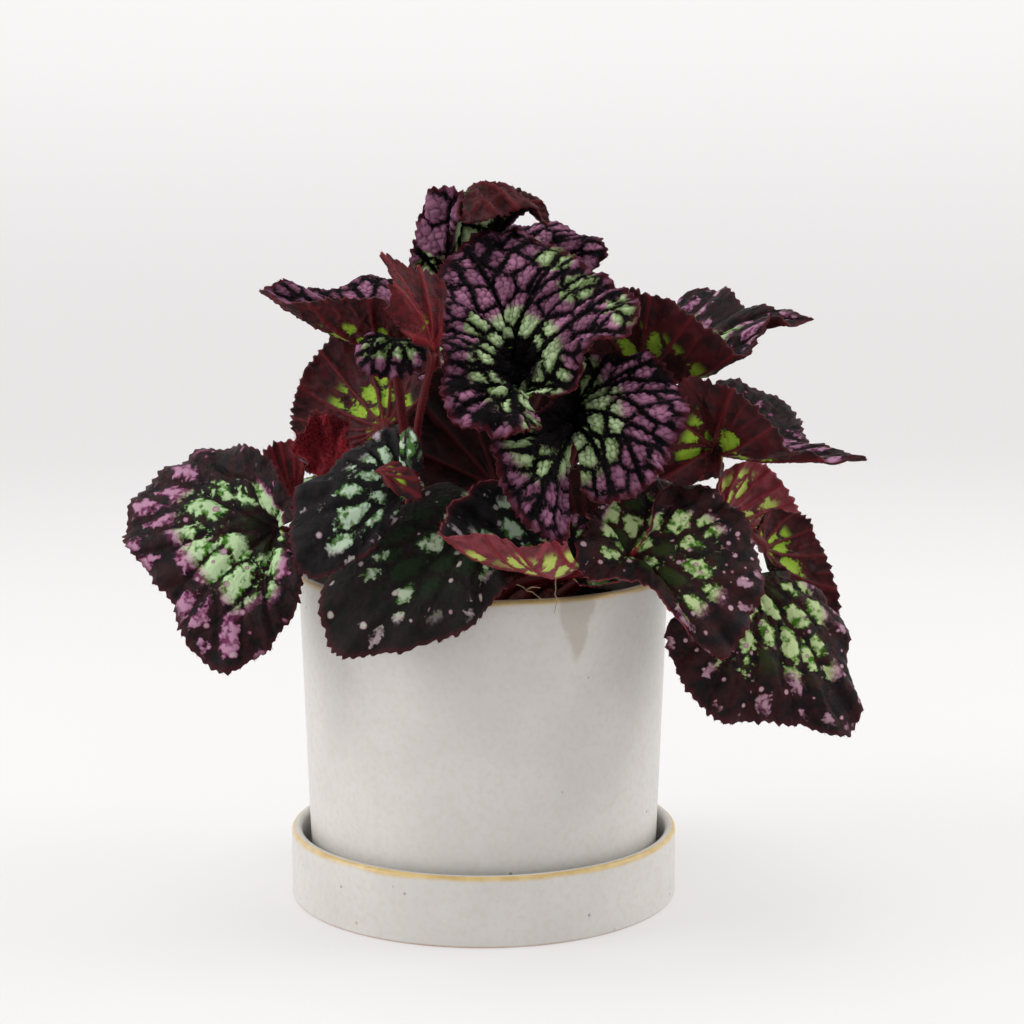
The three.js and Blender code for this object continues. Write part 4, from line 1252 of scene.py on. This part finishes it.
def fillSoil():
    rng = np.random.default_rng(211)
    s = soilSize
    rings, wallRings, segments, top, lumps = (s[key] for key in ("rings", "wallRings", "segments", "top", "lumps"))

    def wallAt(z):
        return potOutAt(z) - potSize["wall"] - s["wallGap"]

    share, turn = np.linspace(0, 1, rings + 1)[1:], turnsOf(segments)
    radius = share[:, None] * wallAt(top)
    xy = np.stack([radius * np.cos(turn), radius * np.sin(turn)], -1).reshape(-1, 2)
    bumpy = 1.9 * softNoise(xy + 300, 9, 3) + 1.3 * softNoise(xy + 300, 3.2, 4) + 0.8 * softNoise(xy + 300, 1.4, 6)
    share = np.repeat(share, segments)
    height = top + s["rise"] * (1 - share**2) + (bumpy - 2.0) * (1 - share**30)  # level at the wall
    wall = []
    for z in np.linspace(top - 3, s["bottom"], wallRings):
        wall.append(np.column_stack([np.cos(turn) * wallAt(z), np.sin(turn) * wallAt(z), np.full(segments, z)]))
    points = np.vstack([[0, 0, top + s["rise"]], np.column_stack([xy, height]), *wall, [0, 0, s["bottom"]]])
    away, spin = np.sqrt(rng.random(lumps)) * (wallAt(top) - 2.5), rng.random(lumps) * 2 * math.pi
    sizes = rng.uniform(*s["lumpSize"], lumps)
    middles = np.column_stack([away * np.cos(spin), away * np.sin(spin), top + 0.7 + 0.3 * sizes])
    clodPoints, clodFaces = crumble(middles, sizes * 0.7, rng)
    faces = net(rings + wallRings, segments, 0, len(points) - 1, first=1, flip=True) + [clodFaces + len(points)]
    piece = addMesh("soil_plug", np.vstack([points, clodPoints]), faces, [0] * 4, [soilFinish()])
    place(piece, "soil", "soil")


def rhizomeFinish():
    finish = newFinish("rhizome_bark")
    here = inSpace()
    bark = grain(here, 260, 5, 0.65)
    colour = tint(between(bark, 0.35, 0.68), paint(38, 20, 18), paint(108, 56, 46))
    colour = tint(between(grain(here, 90, 2), 0.5, 0.62, 0.0, 0.5), colour, paint(120, 34, 40))
    finishWith(colour, 0.75, bark, 0.7, 0.0008, Specular_IOR_Level=0.3)
    return finish


def growRhizome():
    rng = np.random.default_rng(223)
    z = rhizomeSize
    rings, segments, base, height, middle = z["rings"], z["segments"], z["base"], z["height"], z["centreY"]
    share, turn = np.linspace(0, 1, rings + 1)[1:, None], turnsOf(segments)
    x, y = share * np.cos(turn) * z["radiusX"], share * np.sin(turn) * z["radiusY"]
    dome = height * np.sqrt(np.maximum(0, 1 - share**2))
    flat = np.stack([x, y], -1).reshape(-1, 2)
    knobs = bumpCells(flat + 200, 9, 31).reshape(x.shape)
    small = softNoise(flat + 200, 2.4, 37).reshape(x.shape)
    lift = (2.4 * (1 - np.exp(-knobs / 1.6)) + 1.2 * small - 1.6) * (1 - share**10)
    top = np.stack([x, y + middle, base + np.maximum(dome + lift, -1.2)], -1).reshape(-1, 3)
    sink = top[-segments:] - [0, 0, 3.0]
    points = np.vstack([[0, middle, base + height], top, sink, [0, middle, base - 4]])
    n = z["hairs"]
    away, spin = np.sqrt(rng.random(n)) * 0.98, rng.random(n) * 2 * math.pi
    outX, outY = away * np.cos(spin), away * np.sin(spin)
    foot = np.column_stack([
        outX * z["radiusX"], middle + outY * z["radiusY"], base + height * np.sqrt(1 - away**2) - 0.6])
    way = unit(np.column_stack([outX, outY, np.full(n, 0.8)]) + 0.4 * rng.normal(size=(n, 3)))
    hairPoints, hairFaces = spikes(foot, way, rng.uniform(1.2, 3.2, n), z["hairRadius"], rng)
    faces = net(rings + 1, segments, 0, len(points) - 1, first=1, flip=True) + [hairFaces + len(points)]
    finishes = [rhizomeFinish(), redHair]
    piece = addMesh("rhizome_knuckle", np.vstack([points, hairPoints]), faces, [0, 0, 0, 1], finishes)
    place(piece, "rhizome", "rhizome")


# pale roots that hang over the soil and the rim
rootLines = dict(
    radius=0.22, taper=(1.2, 0.5), shake=(0.9, 0.2, 0.2), sides=6, rings=40,
    lines=[
        [[25.4, -60, 137], [25.6, -64.5, 134], [25.3, -67.2, 130], [25.7, -68.6, 126.5], [25.4, -69.2, 121.5]],
        [[12, -58, 130], [14.5, -63, 129.5], [17, -66.5, 128.6], [19.5, -68.4, 127.6], [21, -69.6, 126.4]],
        [[15.5, -64.5, 129.3], [17.5, -66, 130.5], [20.2, -66.4, 130.2]],
        [[-6, -62, 126], [-1, -64.5, 124], [3, -63.5, 121], [8, -64.8, 118]],
    ],
)


def rootFinish():
    finish = newFinish("pale_root")
    here = inSpace()
    colour = tint(grain(here, 500, 3), paint(150, 120, 88), paint(206, 190, 160))
    finishWith(colour, 0.7, grain(here, 900, 2), 0.4, 0.0002, Specular_IOR_Level=0.2)
    return finish


def hangRoots():
    points, faces = [], []
    sides, rings = rootLines["sides"], rootLines["rings"]
    for number, bars in enumerate(rootLines["lines"]):
        line = smoothCurve(bars, np.linspace(0, 1, rings))
        line += (softNoise(np.arange(rings)[:, None] + 50 * number, 5, 7)[:, None] - 0.5) * rootLines["shake"]
        way = unit(np.gradient(line, axis=0))
        side = unit(np.cross(way, [0.2, 0.9, 0.3]))
        thick = rootLines["radius"] * np.linspace(*rootLines["taper"], rings)[:, None, None]
        points.append(tubeAround(line, side, np.cross(way, side), thick, turnsOf(sides)))
        first = number * rings * sides
        ring = first + np.arange(sides)
        faces += net(rings, sides, first=first) + [ring[None, ::-1], ring[None] + (rings - 1) * sides]
    place(addMesh("root_fibres", np.vstack(points), faces, [0] * len(faces), [rootFinish()]), "rhizome")


fillSoil()
growRhizome()
hangRoots()
print("soil and rhizome laid")

print("done")
